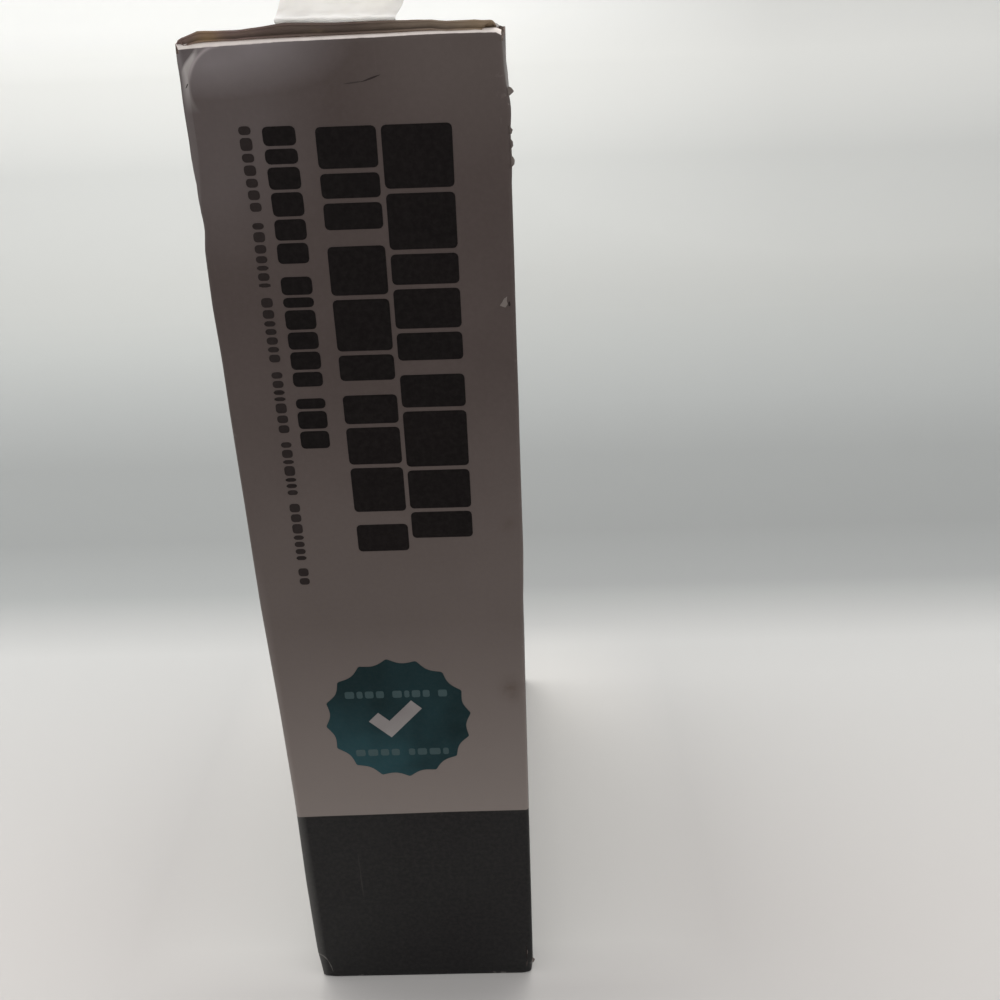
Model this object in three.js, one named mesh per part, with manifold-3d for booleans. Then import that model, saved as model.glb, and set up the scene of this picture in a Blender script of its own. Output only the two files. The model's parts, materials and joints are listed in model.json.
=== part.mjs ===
// The retail carton of a UV phone sanitizer, standing on its short end, with the sanitizer packed inside.
// Millimetres, +Z up. The narrow printed spine faces -Y, and the lid is hinged along the top of the -X wall.
// The origin is the centre of the carton's underside.
import * as THREE from "three";
import { mergeVertices } from "three/addons/utils/BufferGeometryUtils.js";
import Module from "manifold-3d";

const wasm = await Module();
wasm.setup();

// Clearances
const fitGap = 0.3; // between pieces that rest on each other or pass each other
const tuckGap = 0.4; // between the tuck tongue's fold and the right wall
const cutOverrun = 2; // how far a cutting solid runs past the face that it cuts
const wallOverrun = 0.5; // the same where little room lies behind the wall

// Carton board
const board = 1.6; // fine corrugated board with a printed liner
const lidInset = 0.5; // the lid's short edges lie this far behind the spines
const glueFlapWidth = 18;
const tuckLength = 14;
const tuckLeanDeg = 18; // the tongue leans in, so that it draws out past the wall
const tuckCornerRadius = 8;
const tuckEndInset = 2; // between the tongue's ends and the spines
const tuckFloorGap = 1.5; // under the tongue's lower edge
const dustFlapLength = 34;
const dustFlapTipInset = 18; // from the lid's hinge line, at the tip
const dustFlapTongueGap = 1; // between a dust flap and the tongue's innermost reach
const bottomDustLength = 48;
const flapEndInset = 1;

// Seal tape on the lid
const tapeWidth = 22;
const tapeThickness = 0.4;
const tapeCentreX = -1.5;
const tapeRearInset = 12; // from the lid's rear edge
const tapeCurlHeight = 9;
const tapeCurlLength = 8;
const tapeCurlInset = 1; // from the lid's front edge to the curl's end

// Pulp end caps and leaflet
const capSideWall = 6.7;
const capEndWall = 8.8; // towards the two spines
const capFloor = 13;
const capShoulder = 4; // over the sanitizer's upper end
const capGrip = 22; // how deep each cap takes the sanitizer
const capCornerRadius = 3;
const leafletThickness = 1.8;
const leafletLength = 96;
const leafletWidth = 30;

// Sanitizer: the chamber that takes the phone
const chamberLength = 176;
const chamberWidth = 94;
const chamberRadius = 10;
const baseChamberDepth = 12;
const lidChamberDepth = 6;
const linerWall = 1.2;
const linerFlange = 2.5;

// Sanitizer: casing
const shellWall = 2.5;
const deckThickness = 2;
const lidTopWall = 3;
const casingRadius = 18;
const coverThickness = 2;
const screwBossRadius = 3.85;
const screwBossSpacing = 60;
const gasketWidth = 1.5;
const footRadius = 6;
const footHeight = 1.5;
const footInset = 20; // from the casing's sides to a foot's centre

// Sanitizer: lamps
const lampWindowThickness = 1;
const lampWindowLength = 108;
const lampWindowWidth = 14;
const windowRebate = 2; // how much wider the window is than its opening
const lampHeight = 1;
const lampSize = 3.5;
const lampSpacing = 70;
const boardThickness = 1;

// Sanitizer: charger in the lid
const padRadius = 32;
const padThickness = 0.8;
const coilOuterRadius = 22;
const coilInnerRadius = 11;
const coilThickness = 1;
const ferriteRadius = 24;
const ferriteThickness = 0.8;

// Sanitizer: electronics in the base
const standoffHeight = 1.5;
const standoffRadius = 2.5;
const mainBoardLength = 64;
const mainBoardWidth = 30;
const mainBoardThickness = 1.6;
const powerBoardLength = 36;
const powerBoardWidth = 14;
const wallClearance = 1; // between a circuit board and the casing
const socketWidth = 9.6;
const socketHeight = 4;
const socketWall = 0.5;
const socketDepth = 7.5;
const sensorSize = 3;
const sensorHeight = 1;
const sensorOffset = 24; // from the button, along the front
const magnetRadius = 3;
const magnetHeight = 2;

// Sanitizer: button and status light
const buttonWidth = 13;
const buttonHeight = 6;
const buttonProud = 0.9;
const buttonFlange = 1.2; // how much the button's flange is wider than its hole
const buttonFlangeThickness = 1;
const buttonTravel = 0.6;
const switchLength = 6;
const switchDepth = 2.6;
const switchHeight = 4.6;
const lightPipeRadius = 1.2;
const lightPipeOffset = 12; // from the button's centre

// Sanitizer: hinge pins and screws
const pinRadius = 1.2;
const pinSpacing = 110;
const knuckleLength = 9;
const screwShankRadius = 1.2;
const screwHeadRadius = 2.6;
const screwHeadHeight = 1.2;
const screwLength = 9;

// Facets of round forms
const cornerSteps = 5;
const roundSides = 20;
const coilSides = 36;
const curlSteps = 8;
const fullestCornerShare = 0.99; // of half a plate's side
const mergeDistance = 1e-4;

// Stack of the sanitizer, from its feet to the top of its lid
const coverBottom = footHeight + fitGap;
const coverTop = coverBottom + coverThickness;
const baseBottom = coverTop + fitGap;
const lampStack = 3 * fitGap + lampWindowThickness + lampHeight + boardThickness;
const mainBoardBottom = coverTop + standoffHeight + fitGap;
const mainBoardTop = mainBoardBottom + mainBoardThickness;
const baseLinerBottom = mainBoardTop + fitGap + lampStack;
const baseLinerTop = baseLinerBottom + linerWall + baseChamberDepth;
const baseTop = baseLinerTop - linerWall - fitGap;
const lidBottom = baseLinerTop + fitGap;
const lidPanTop = lidBottom + lidChamberDepth + linerWall;
const ferriteBottom = lidPanTop + lampStack + fitGap;
const coilBottom = ferriteBottom + ferriteThickness + fitGap;
const lidCeiling = coilBottom + coilThickness + fitGap;
const deviceHeight = lidCeiling + lidTopWall;

// Plan of the sanitizer
const bossBand = 2 * fitGap + 2 * screwBossRadius;
const rimWidth = shellWall + bossBand + linerWall;
const deviceLength = chamberLength + 2 * rimWidth;
const deviceWidth = chamberWidth + 2 * rimWidth;
const gasketBand = linerWall + linerFlange + gasketWidth + 2 * fitGap;
const knuckleReach = (rimWidth - gasketBand) / 2; // around the pin
const innerRadius = casingRadius - shellWall;
const linerRadius = chamberRadius + linerWall;
const innerLength = deviceLength - 2 * shellWall;
const innerWidth = deviceWidth - 2 * shellWall;
const frontWallInside = -deviceWidth / 2 + shellWall;
const rearWallInside = deviceWidth / 2 - shellWall;
const buttonZ = mainBoardTop + fitGap + buttonHeight / 2;

// Carton around it
const insideWidth = deviceHeight + 2 * (capSideWall + 2 * fitGap);
const insideDepth = deviceWidth + 2 * (capEndWall + 2 * fitGap);
const cartonWidth = insideWidth + 2 * board;
const cartonDepth = insideDepth + 2 * board;
const bottomStack = 3 * board;
const capBottom = bottomStack + fitGap;
const deviceStart = capBottom + capFloor + fitGap;
const deviceEnd = deviceStart + deviceLength;
const shoulderTop = deviceEnd + fitGap + capShoulder;
const tuckLean = THREE.MathUtils.degToRad(tuckLeanDeg);
const tuckStart = (board + fitGap + board * Math.sin(tuckLean)) / Math.cos(tuckLean);
const tuckReach = tuckStart + tuckLength;
const tuckDrop = tuckReach * Math.cos(tuckLean);
const cartonHeight = shoulderTop + tuckFloorGap + tuckDrop;
const lidUnderside = cartonHeight - board;
const dustTop = lidUnderside - fitGap;
const spineTop = dustTop - board - fitGap;
const leftWall = -cartonWidth / 2;
const rightWall = cartonWidth / 2;
const tuckFoldX = rightWall - board - tuckGap;
const tongueInnerX = tuckFoldX - tuckReach * Math.sin(tuckLean) - board * Math.cos(tuckLean);
const dustFlapRightX = tongueInnerX - dustFlapTongueGap;
const leafletTop = spineTop - fitGap;
const capTop = leafletTop - leafletThickness - fitGap;

// Solids as manifolds: a closed three.js geometry becomes one, and one becomes a mesh
function solidFrom(geometry) {
  const bare = geometry.index ? geometry.toNonIndexed() : geometry.clone();
  bare.deleteAttribute("normal");
  bare.deleteAttribute("uv");
  const merged = mergeVertices(bare, mergeDistance);
  return new wasm.Manifold(
    new wasm.Mesh({
      numProp: 3,
      vertProperties: merged.attributes.position.array,
      triVerts: new Uint32Array(merged.index.array),
    }),
  );
}

function geometryFrom(solid) {
  const mesh = solid.getMesh();
  const positions = new Float32Array(mesh.numVert * 3);
  for (let i = 0; i < mesh.numVert; i++) {
    const start = i * mesh.numProp;
    positions.set(mesh.vertProperties.subarray(start, start + 3), i * 3);
  }
  const geometry = new THREE.BufferGeometry();
  geometry.setAttribute("position", new THREE.BufferAttribute(positions, 3));
  geometry.setIndex(new THREE.BufferAttribute(new Uint32Array(mesh.triVerts), 1));
  return geometry;
}

// A box from its lowest to its highest corner
function block(low, high) {
  const size = high.map((value, i) => value - low[i]);
  const geometry = new THREE.BoxGeometry(...size);
  geometry.translate(...low.map((value, i) => value + size[i] / 2));
  return solidFrom(geometry);
}

// A plate with rounded corners, centred on Z, from one height to another
function roundedPlate(length, width, radius, bottom, top) {
  const x = length / 2;
  const y = width / 2;
  const r = Math.min(radius, x * fullestCornerShare, y * fullestCornerShare);
  const outline = new THREE.Shape();
  outline.moveTo(-x + r, -y);
  outline.lineTo(x - r, -y);
  outline.absarc(x - r, -y + r, r, -Math.PI / 2, 0);
  outline.lineTo(x, y - r);
  outline.absarc(x - r, y - r, r, 0, Math.PI / 2);
  outline.lineTo(-x + r, y);
  outline.absarc(-x + r, y - r, r, Math.PI / 2, Math.PI);
  outline.lineTo(-x, -y + r);
  outline.absarc(-x + r, -y + r, r, Math.PI, 1.5 * Math.PI);
  return extruded(outline, bottom, top);
}

function extruded(outline, bottom, top) {
  const settings = { depth: top - bottom, bevelEnabled: false, curveSegments: cornerSteps };
  const geometry = new THREE.ExtrudeGeometry(outline, settings);
  geometry.translate(0, 0, bottom);
  return solidFrom(geometry);
}

// A disc or rod along Z
function disc(radius, bottom, top, x = 0, y = 0, sides = roundSides) {
  const geometry = new THREE.CylinderGeometry(radius, radius, top - bottom, sides);
  geometry.rotateX(Math.PI / 2);
  geometry.translate(x, y, (top + bottom) / 2);
  return solidFrom(geometry);
}

// A rod along X
function rodAlongX(radius, start, end, y, z) {
  const geometry = new THREE.CylinderGeometry(radius, radius, end - start, roundSides);
  geometry.rotateZ(Math.PI / 2);
  geometry.translate((start + end) / 2, y, z);
  return solidFrom(geometry);
}

// A rod along Y
function rodAlongY(radius, start, end, x, z) {
  const geometry = new THREE.CylinderGeometry(radius, radius, end - start, roundSides);
  geometry.translate(x, (start + end) / 2, z);
  return solidFrom(geometry);
}

// An outline whose first axis is Y and whose second is Z, extruded along X
function extrudedAlongX(outline, start, end) {
  const geometry = new THREE.ExtrudeGeometry(outline, { depth: end - start, bevelEnabled: false });
  const turn = new THREE.Matrix4();
  turn.set(0, 0, 1, start, 1, 0, 0, 0, 0, 1, 0, 0, 0, 0, 0, 1);
  geometry.applyMatrix4(turn);
  return solidFrom(geometry);
}

const joined = (solids) => solids.reduce((whole, next) => whole.add(next));
const sides = [-1, 1];

// Finishes
const finish = (color, roughness, metalness = 0) =>
  new THREE.MeshStandardMaterial({ color, roughness, metalness });
const finishes = {
  printedBoard: finish(0x4c4340, 0.55),
  kraftBoard: finish(0x8a6f55, 0.9),
  paperTape: finish(0xd9cfb9, 0.8),
  pulp: finish(0xa9a195, 0.95),
  leafletPaper: finish(0xe8e6e0, 0.8),
  whiteCasing: finish(0xe9ebec, 0.35),
  mirrorPan: finish(0xc8ccd0, 0.12, 1),
  darkRubber: finish(0x2b2d2f, 0.8),
  clearWindow: finish(0xcfe3ee, 0.05),
  circuitBoard: finish(0x1f5a3c, 0.5),
  lampCeramic: finish(0xe6d9a8, 0.4),
  copper: finish(0xb06a3b, 0.3, 1),
  ferrite: finish(0x3a3c40, 0.6),
  steel: finish(0xa9acb0, 0.3, 1),
  blackPlastic: finish(0x1c1d1f, 0.5),
  tealPlastic: finish(0x1f7f86, 0.4),
};

const carton = new THREE.Group();
const device = new THREE.Group();

function addPiece(group, name, solid, material) {
  const mesh = new THREE.Mesh(geometryFrom(solid), material);
  mesh.name = name;
  group.add(mesh);
  return mesh;
}

// Carton: the tube of four walls, which differ in height at the top, with its glue flap
function cartonTube() {
  const frontWall = -cartonDepth / 2;
  const rearWall = cartonDepth / 2;
  const left = block([leftWall, frontWall, 0], [leftWall + board, rearWall, dustTop]);
  const right = block([rightWall - board, frontWall, 0], [rightWall, rearWall, spineTop]);
  const front = block([leftWall, frontWall, 0], [rightWall, frontWall + board, spineTop]);
  const rear = block([leftWall, rearWall - board, 0], [rightWall, rearWall, spineTop]);
  // Above the spines' folds, the lid hinge wall and the tuck wall stand on between the dust flaps' folds.
  // The tuck wall ends beside the lid's underside, so that the lid's fold shows over it
  const tuckWall = block(
    [rightWall - board, frontWall + lidInset, 0],
    [rightWall, rearWall - lidInset, lidUnderside + fitGap],
  );
  const glueFlap = block(
    [leftWall, rearWall - 2 * board, bottomStack + flapEndInset],
    [leftWall + glueFlapWidth, rearWall - board, shoulderTop],
  );
  return joined([left, right, front, rear, tuckWall, glueFlap]);
}

// Carton: the glued bottom, four flaps in three layers
function bottomFlaps() {
  const x = insideWidth / 2;
  const y = insideDepth / 2;
  const flaps = {
    bottom_outer_flap: block([-x, -y, 0], [x, y, board]),
    bottom_inner_flap: block([-x, -y + flapEndInset, board], [x, y - flapEndInset, 2 * board]),
    bottom_dust_flap_front: block(
      [-x + flapEndInset, -y, 2 * board],
      [x - flapEndInset, -y + bottomDustLength, bottomStack],
    ),
    bottom_dust_flap_rear: block(
      [-x + flapEndInset, y - bottomDustLength, 2 * board],
      [x - flapEndInset, y, bottomStack],
    ),
  };
  for (const [name, solid] of Object.entries(flaps)) addPiece(carton, name, solid, finishes.kraftBoard);
}

// Carton: the lid, from its hinge on the left wall to the tongue's fold
function lidPanel() {
  return block(
    [leftWall + fitGap, -cartonDepth / 2 + lidInset, lidUnderside],
    [tuckFoldX - fitGap, cartonDepth / 2 - lidInset, cartonHeight],
  );
}

// Carton: the tongue, drawn flat beyond the lid's end and turned down about its fold
function tuckTongue() {
  const halfLength = insideDepth / 2 - tuckEndInset;
  const r = tuckCornerRadius;
  const outline = new THREE.Shape();
  outline.moveTo(tuckStart, -halfLength);
  outline.lineTo(tuckReach - r, -halfLength);
  outline.absarc(tuckReach - r, -halfLength + r, r, -Math.PI / 2, 0);
  outline.lineTo(tuckReach, halfLength - r);
  outline.absarc(tuckReach - r, halfLength - r, r, 0, Math.PI / 2);
  outline.lineTo(tuckStart, halfLength);
  const flat = extruded(outline, -board, 0);
  const down = 90 + tuckLeanDeg;
  return flat.rotate([0, down, 0]).translate([tuckFoldX, 0, cartonHeight]);
}

// Carton: a dust flap, as wide as the spine at its fold, then cut back on the tongue's side and tapered
// towards its tip on the lid's hinge side
function dustFlap(side) {
  const foldY = side * (cartonDepth / 2 - fitGap);
  const shoulderY = side * (insideDepth / 2 - tuckEndInset + 2 * fitGap);
  const tipY = side * (cartonDepth / 2 - dustFlapLength);
  const hingeSideX = leftWall + board + fitGap;
  const tongueSideX = rightWall - board - fitGap;
  const outline = new THREE.Shape();
  const points = [
    [hingeSideX, foldY],
    [tongueSideX, foldY],
    [tongueSideX, shoulderY],
    [dustFlapRightX, shoulderY],
    [dustFlapRightX, tipY],
    [leftWall + dustFlapTipInset, tipY],
    [hingeSideX, shoulderY],
  ];
  outline.setFromPoints(points.map(([x, y]) => new THREE.Vector2(x, y)));
  return extruded(outline, dustTop - board, dustTop);
}

// Tape on the lid: flat along it, then lifted at the front end in a smooth curl
function sealTape() {
  const rearY = cartonDepth / 2 - lidInset - tapeRearInset;
  const frontY = -cartonDepth / 2 + lidInset + tapeCurlInset;
  const bottom = cartonHeight + fitGap;
  const rise = (t) => tapeCurlHeight * t * t * (3 - 2 * t);
  const under = [new THREE.Vector2(rearY, bottom)];
  for (let i = 0; i <= curlSteps; i++) {
    const t = i / curlSteps;
    under.push(new THREE.Vector2(frontY + tapeCurlLength * (1 - t), bottom + rise(t)));
  }
  const over = under.map((p) => new THREE.Vector2(p.x, p.y + tapeThickness)).reverse();
  const outline = new THREE.Shape([...over, ...under]);
  return extrudedAlongX(outline, tapeCentreX - tapeWidth / 2, tapeCentreX + tapeWidth / 2);
}

// Packing: an end cap with a pocket that takes one end of the sanitizer
function capBlock(bottom, top) {
  const x = insideWidth / 2 - fitGap;
  const y = insideDepth / 2 - fitGap;
  return roundedPlate(2 * x, 2 * y, capCornerRadius, bottom, top);
}

function capPocket(bottom, top) {
  const x = deviceHeight / 2 + fitGap;
  const y = deviceWidth / 2 + fitGap;
  return block([-x, -y, bottom], [x, y, top]);
}

function glueFlapRoom(bottom, top) {
  return block(
    [leftWall, insideDepth / 2 - board - fitGap, bottom - cutOverrun],
    [leftWall + glueFlapWidth + fitGap, cartonDepth / 2, top + cutOverrun],
  );
}

function lowerCap() {
  const pocketFloor = deviceStart - fitGap;
  const top = deviceStart + capGrip;
  return capBlock(capBottom, top)
    .subtract(capPocket(pocketFloor, top + cutOverrun))
    .subtract(glueFlapRoom(capBottom, top));
}

function upperCap() {
  const bottom = deviceEnd - capGrip;
  const whole = capBlock(bottom, capTop);
  const tongueRoom = block(
    [dustFlapRightX, -cartonDepth / 2, shoulderTop],
    [rightWall, cartonDepth / 2, capTop + cutOverrun],
  );
  return whole
    .subtract(capPocket(bottom - cutOverrun, deviceEnd + fitGap))
    .subtract(tongueRoom)
    .subtract(glueFlapRoom(bottom, capTop));
}

function leaflet() {
  const centreX = (leftWall + board + dustFlapRightX) / 2;
  const x = leafletWidth / 2;
  const y = leafletLength / 2;
  return block([centreX - x, -y, capTop + fitGap], [centreX + x, y, leafletTop]);
}

// Sanitizer: where its screws, hinge knuckles and hinge pins are
const screwX = deviceLength / 2 - shellWall - fitGap - screwBossRadius;
const screwPlaces = sides.flatMap((sx) => sides.map((sy) => [sx * screwX, (sy * screwBossSpacing) / 2]));
const knuckleHalf = knuckleLength / 2;
const pinY = deviceWidth / 2 - knuckleReach;
const pinZ = (baseTop + lidBottom) / 2;

function knuckle(centreX, grow) {
  const reach = knuckleReach + grow;
  return block(
    [centreX - knuckleHalf - grow, pinY - reach, pinZ - reach],
    [centreX + knuckleHalf + grow, pinY + knuckleReach + (grow ? cutOverrun : 0), pinZ + reach],
  );
}

const pinCentres = sides.map((side) => (side * pinSpacing) / 2);
const earOffset = knuckleLength + fitGap;
const earCentres = pinCentres.flatMap((x) => sides.map((side) => x + side * earOffset));
const pinHalf = knuckleHalf + earOffset;
const pinHoles = pinCentres.map((x) =>
  rodAlongX(pinRadius + fitGap, x - pinHalf - cutOverrun, x + pinHalf + cutOverrun, pinY, pinZ),
);

// Sanitizer: the base, open below, with a deck round the chamber and bosses for the screws
function baseShell() {
  const openingLength = chamberLength + 2 * (linerWall + fitGap);
  const openingWidth = chamberWidth + 2 * (linerWall + fitGap);
  const outside = roundedPlate(deviceLength, deviceWidth, casingRadius, baseBottom, baseTop);
  const hollow = roundedPlate(
    innerLength,
    innerWidth,
    innerRadius,
    baseBottom - cutOverrun,
    baseTop - deckThickness,
  );
  const opening = roundedPlate(
    openingLength,
    openingWidth,
    linerRadius + fitGap,
    baseBottom,
    baseTop + cutOverrun,
  );
  const bosses = screwPlaces.map(([x, y]) => disc(screwBossRadius, baseBottom, baseTop, x, y));
  const ears = earCentres.map((x) => knuckle(x, 0));
  const bores = screwPlaces.map(([x, y]) =>
    disc(screwShankRadius + fitGap, baseBottom - cutOverrun, coverBottom + screwLength + fitGap, x, y),
  );
  const knuckleRooms = pinCentres.map((x) => knuckle(x, fitGap));
  const buttonHole = block(
    [-buttonWidth / 2, -deviceWidth / 2 - cutOverrun, buttonZ - buttonHeight / 2],
    [buttonWidth / 2, frontWallInside + wallOverrun, buttonZ + buttonHeight / 2],
  );
  const lightHole = rodAlongY(
    lightPipeRadius + fitGap,
    -deviceWidth / 2 - cutOverrun,
    frontWallInside + wallOverrun,
    lightPipeOffset,
    buttonZ,
  );
  const socketX = socketWidth / 2 + fitGap;
  const socketHole = block(
    [-socketX, rearWallInside - wallOverrun, mainBoardTop],
    [socketX, deviceWidth / 2 + cutOverrun, mainBoardTop + socketHeight + 2 * fitGap],
  );
  let shell = outside.subtract(hollow).subtract(opening);
  shell = joined([shell, ...bosses, ...ears]);
  for (const cut of [...bores, ...knuckleRooms, ...pinHoles, buttonHole, lightHole, socketHole])
    shell = shell.subtract(cut);
  return shell;
}

function bottomCover() {
  const standoffs = [...boardStandoffs(mainBoardPlace), ...boardStandoffs(powerBoardPlace)];
  let cover = roundedPlate(deviceLength, deviceWidth, casingRadius, coverBottom, coverTop);
  for (const [x, y] of screwPlaces) {
    cover = cover.subtract(
      disc(screwShankRadius + fitGap, coverBottom - cutOverrun, coverTop + cutOverrun, x, y),
    );
    cover = cover.subtract(
      disc(
        screwHeadRadius + fitGap,
        coverBottom - cutOverrun,
        coverBottom + screwHeadHeight + fitGap,
        x,
        y,
      ),
    );
  }
  return joined([cover, ...standoffs]);
}

// Sanitizer: a pan with a flange, open upwards, and a slot in its floor for the lamps' window
function linerPan(floorBottom, flangeTop, flangeLength, flangeWidth, flangeRadius) {
  const outsideLength = chamberLength + 2 * linerWall;
  const outsideWidth = chamberWidth + 2 * linerWall;
  const pan = roundedPlate(outsideLength, outsideWidth, linerRadius, floorBottom, flangeTop);
  const flange = roundedPlate(
    flangeLength,
    flangeWidth,
    flangeRadius,
    flangeTop - linerWall,
    flangeTop,
  );
  const chamber = roundedPlate(
    chamberLength,
    chamberWidth,
    chamberRadius,
    floorBottom + linerWall,
    flangeTop + cutOverrun,
  );
  const slotX = lampWindowLength / 2 - windowRebate;
  const slotY = lampWindowWidth / 2 - windowRebate;
  const slot = block(
    [-slotX, -slotY, floorBottom - cutOverrun],
    [slotX, slotY, floorBottom + linerWall + cutOverrun],
  );
  return pan.add(flange).subtract(chamber).subtract(slot);
}

function baseLiner() {
  const outer = 2 * (linerWall + linerFlange);
  return linerPan(
    baseLinerBottom,
    baseLinerTop,
    chamberLength + outer,
    chamberWidth + outer,
    linerRadius + linerFlange,
  );
}

// The lid's pan is the same form upside down, and its flange fills the lid from wall to wall
function lidLiner() {
  const flangeLength = innerLength - 2 * fitGap;
  const flangeWidth = innerWidth - 2 * fitGap;
  const height = lidPanTop - lidBottom;
  const pan = linerPan(0, height, flangeLength, flangeWidth, innerRadius - fitGap);
  let placed = pan.rotate([180, 0, 0]).translate([0, 0, lidPanTop]);
  for (const x of [...pinCentres, ...earCentres]) placed = placed.subtract(knuckle(x, fitGap));
  return placed;
}

function lidGasket() {
  const inner = 2 * (linerWall + linerFlange + fitGap);
  const outer = inner + 2 * gasketWidth;
  const bottom = baseTop + fitGap;
  const top = lidBottom - fitGap;
  const radius = linerRadius + linerFlange + fitGap;
  const ring = roundedPlate(
    chamberLength + outer,
    chamberWidth + outer,
    radius + gasketWidth,
    bottom,
    top,
  );
  const hole = roundedPlate(
    chamberLength + inner,
    chamberWidth + inner,
    radius,
    bottom - cutOverrun,
    top + cutOverrun,
  );
  return ring.subtract(hole);
}

function deviceLidShell() {
  const outside = roundedPlate(deviceLength, deviceWidth, casingRadius, lidBottom, deviceHeight);
  const hollow = roundedPlate(
    innerLength,
    innerWidth,
    innerRadius,
    lidBottom - cutOverrun,
    lidCeiling,
  );
  const padRecess = disc(
    padRadius + fitGap,
    deviceHeight - padThickness - fitGap,
    deviceHeight + cutOverrun,
    0,
    0,
    coilSides,
  );
  let shell = outside.subtract(hollow).subtract(padRecess);
  shell = joined([shell, ...pinCentres.map((x) => knuckle(x, 0))]);
  for (const cut of [...earCentres.map((x) => knuckle(x, fitGap)), ...pinHoles])
    shell = shell.subtract(cut);
  return shell;
}

// Sanitizer: a window, a lamp board and two lamps, stacked away from a liner's floor
function lampSet(prefix, start, direction) {
  const level = (offset, thickness) => {
    const a = start + direction * offset;
    const b = a + direction * thickness;
    return [Math.min(a, b), Math.max(a, b)];
  };
  const x = lampWindowLength / 2;
  const y = lampWindowWidth / 2;
  const [windowBottom, windowTop] = level(fitGap, lampWindowThickness);
  const lampOffset = 2 * fitGap + lampWindowThickness;
  const [lampBottom, lampTop] = level(lampOffset, lampHeight);
  const [boardBottom, boardTop] = level(lampOffset + lampHeight + fitGap, boardThickness);
  const window = block([-x, -y, windowBottom], [x, y, windowTop]);
  const lampBoard = block([-x, -y, boardBottom], [x, y, boardTop]);
  addPiece(device, `${prefix}_lamp_window`, window, finishes.clearWindow);
  addPiece(device, `${prefix}_lamp_board`, lampBoard, finishes.circuitBoard);
  const half = lampSize / 2;
  for (const [word, side] of [["left", -1], ["right", 1]]) {
    const centre = (side * lampSpacing) / 2;
    const lamp = block([centre - half, -half, lampBottom], [centre + half, half, lampTop]);
    addPiece(device, `${prefix}_lamp_${word}`, lamp, finishes.lampCeramic);
  }
}

// Sanitizer: charger parts under the lid's top
function coil() {
  const ring = disc(coilOuterRadius, coilBottom, coilBottom + coilThickness, 0, 0, coilSides);
  const eye = disc(coilInnerRadius, coilBottom - cutOverrun, lidCeiling, 0, 0, coilSides);
  return ring.subtract(eye);
}

// Sanitizer: circuit boards on short posts of the bottom cover
const mainBoardPlace = {
  low: [-mainBoardLength / 2, frontWallInside + wallClearance],
  high: [mainBoardLength / 2, frontWallInside + wallClearance + mainBoardWidth],
};
const powerBoardPlace = {
  low: [-powerBoardLength / 2, rearWallInside - wallClearance - powerBoardWidth],
  high: [powerBoardLength / 2, rearWallInside - wallClearance],
};

function boardStandoffs({ low, high }) {
  const inset = standoffRadius + wallClearance;
  const xs = [low[0] + inset, high[0] - inset];
  const ys = [low[1] + inset, high[1] - inset];
  return xs.flatMap((x) =>
    ys.map((y) => disc(standoffRadius, coverBottom, mainBoardBottom - fitGap, x, y)),
  );
}

const circuitBoard = ({ low, high }) => block([...low, mainBoardBottom], [...high, mainBoardTop]);

function powerSocket() {
  const x = socketWidth / 2;
  const bottom = mainBoardTop + fitGap;
  const top = bottom + socketHeight;
  const mouth = deviceWidth / 2 - fitGap;
  const outside = block([-x, mouth - socketDepth, bottom], [x, mouth, top]);
  const slot = block(
    [-x + socketWall, mouth - socketDepth + socketWall, bottom + socketWall],
    [x - socketWall, mouth + cutOverrun, top - socketWall],
  );
  return outside.subtract(slot);
}

// Sanitizer: the button, proud of the front wall, with a flange behind it that stops it falling out
const buttonBack = frontWallInside + fitGap + buttonFlangeThickness;
const switchFront = buttonBack + buttonTravel + fitGap;

function powerButton() {
  const x = buttonWidth / 2 - fitGap;
  const z = buttonHeight / 2 - fitGap;
  const cap = block(
    [-x, -deviceWidth / 2 - buttonProud, buttonZ - z],
    [x, buttonBack, buttonZ + z],
  );
  const flange = block(
    [-buttonWidth / 2 - buttonFlange, frontWallInside + fitGap, buttonZ - z],
    [buttonWidth / 2 + buttonFlange, buttonBack, buttonZ + z],
  );
  return cap.add(flange);
}

function tactSwitch() {
  const x = switchLength / 2;
  const bottom = mainBoardTop + fitGap;
  return block([-x, switchFront, bottom], [x, switchFront + switchDepth, bottom + switchHeight]);
}

function coverScrew(x, y) {
  const head = disc(screwHeadRadius, coverBottom, coverBottom + screwHeadHeight, x, y);
  return head.add(disc(screwShankRadius, coverBottom, coverBottom + screwLength, x, y));
}

// The carton's pieces
addPiece(carton, "carton_tube", cartonTube(), finishes.printedBoard);
bottomFlaps();
addPiece(carton, "lid_panel", lidPanel(), finishes.printedBoard);
addPiece(carton, "tuck_tongue", tuckTongue(), finishes.printedBoard);
addPiece(carton, "dust_flap_front", dustFlap(-1), finishes.kraftBoard);
addPiece(carton, "dust_flap_rear", dustFlap(1), finishes.kraftBoard);
addPiece(carton, "seal_tape", sealTape(), finishes.paperTape);
addPiece(carton, "pulp_cap_bottom", lowerCap(), finishes.pulp);
addPiece(carton, "pulp_cap_top", upperCap(), finishes.pulp);
addPiece(carton, "leaflet", leaflet(), finishes.leafletPaper);

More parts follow.
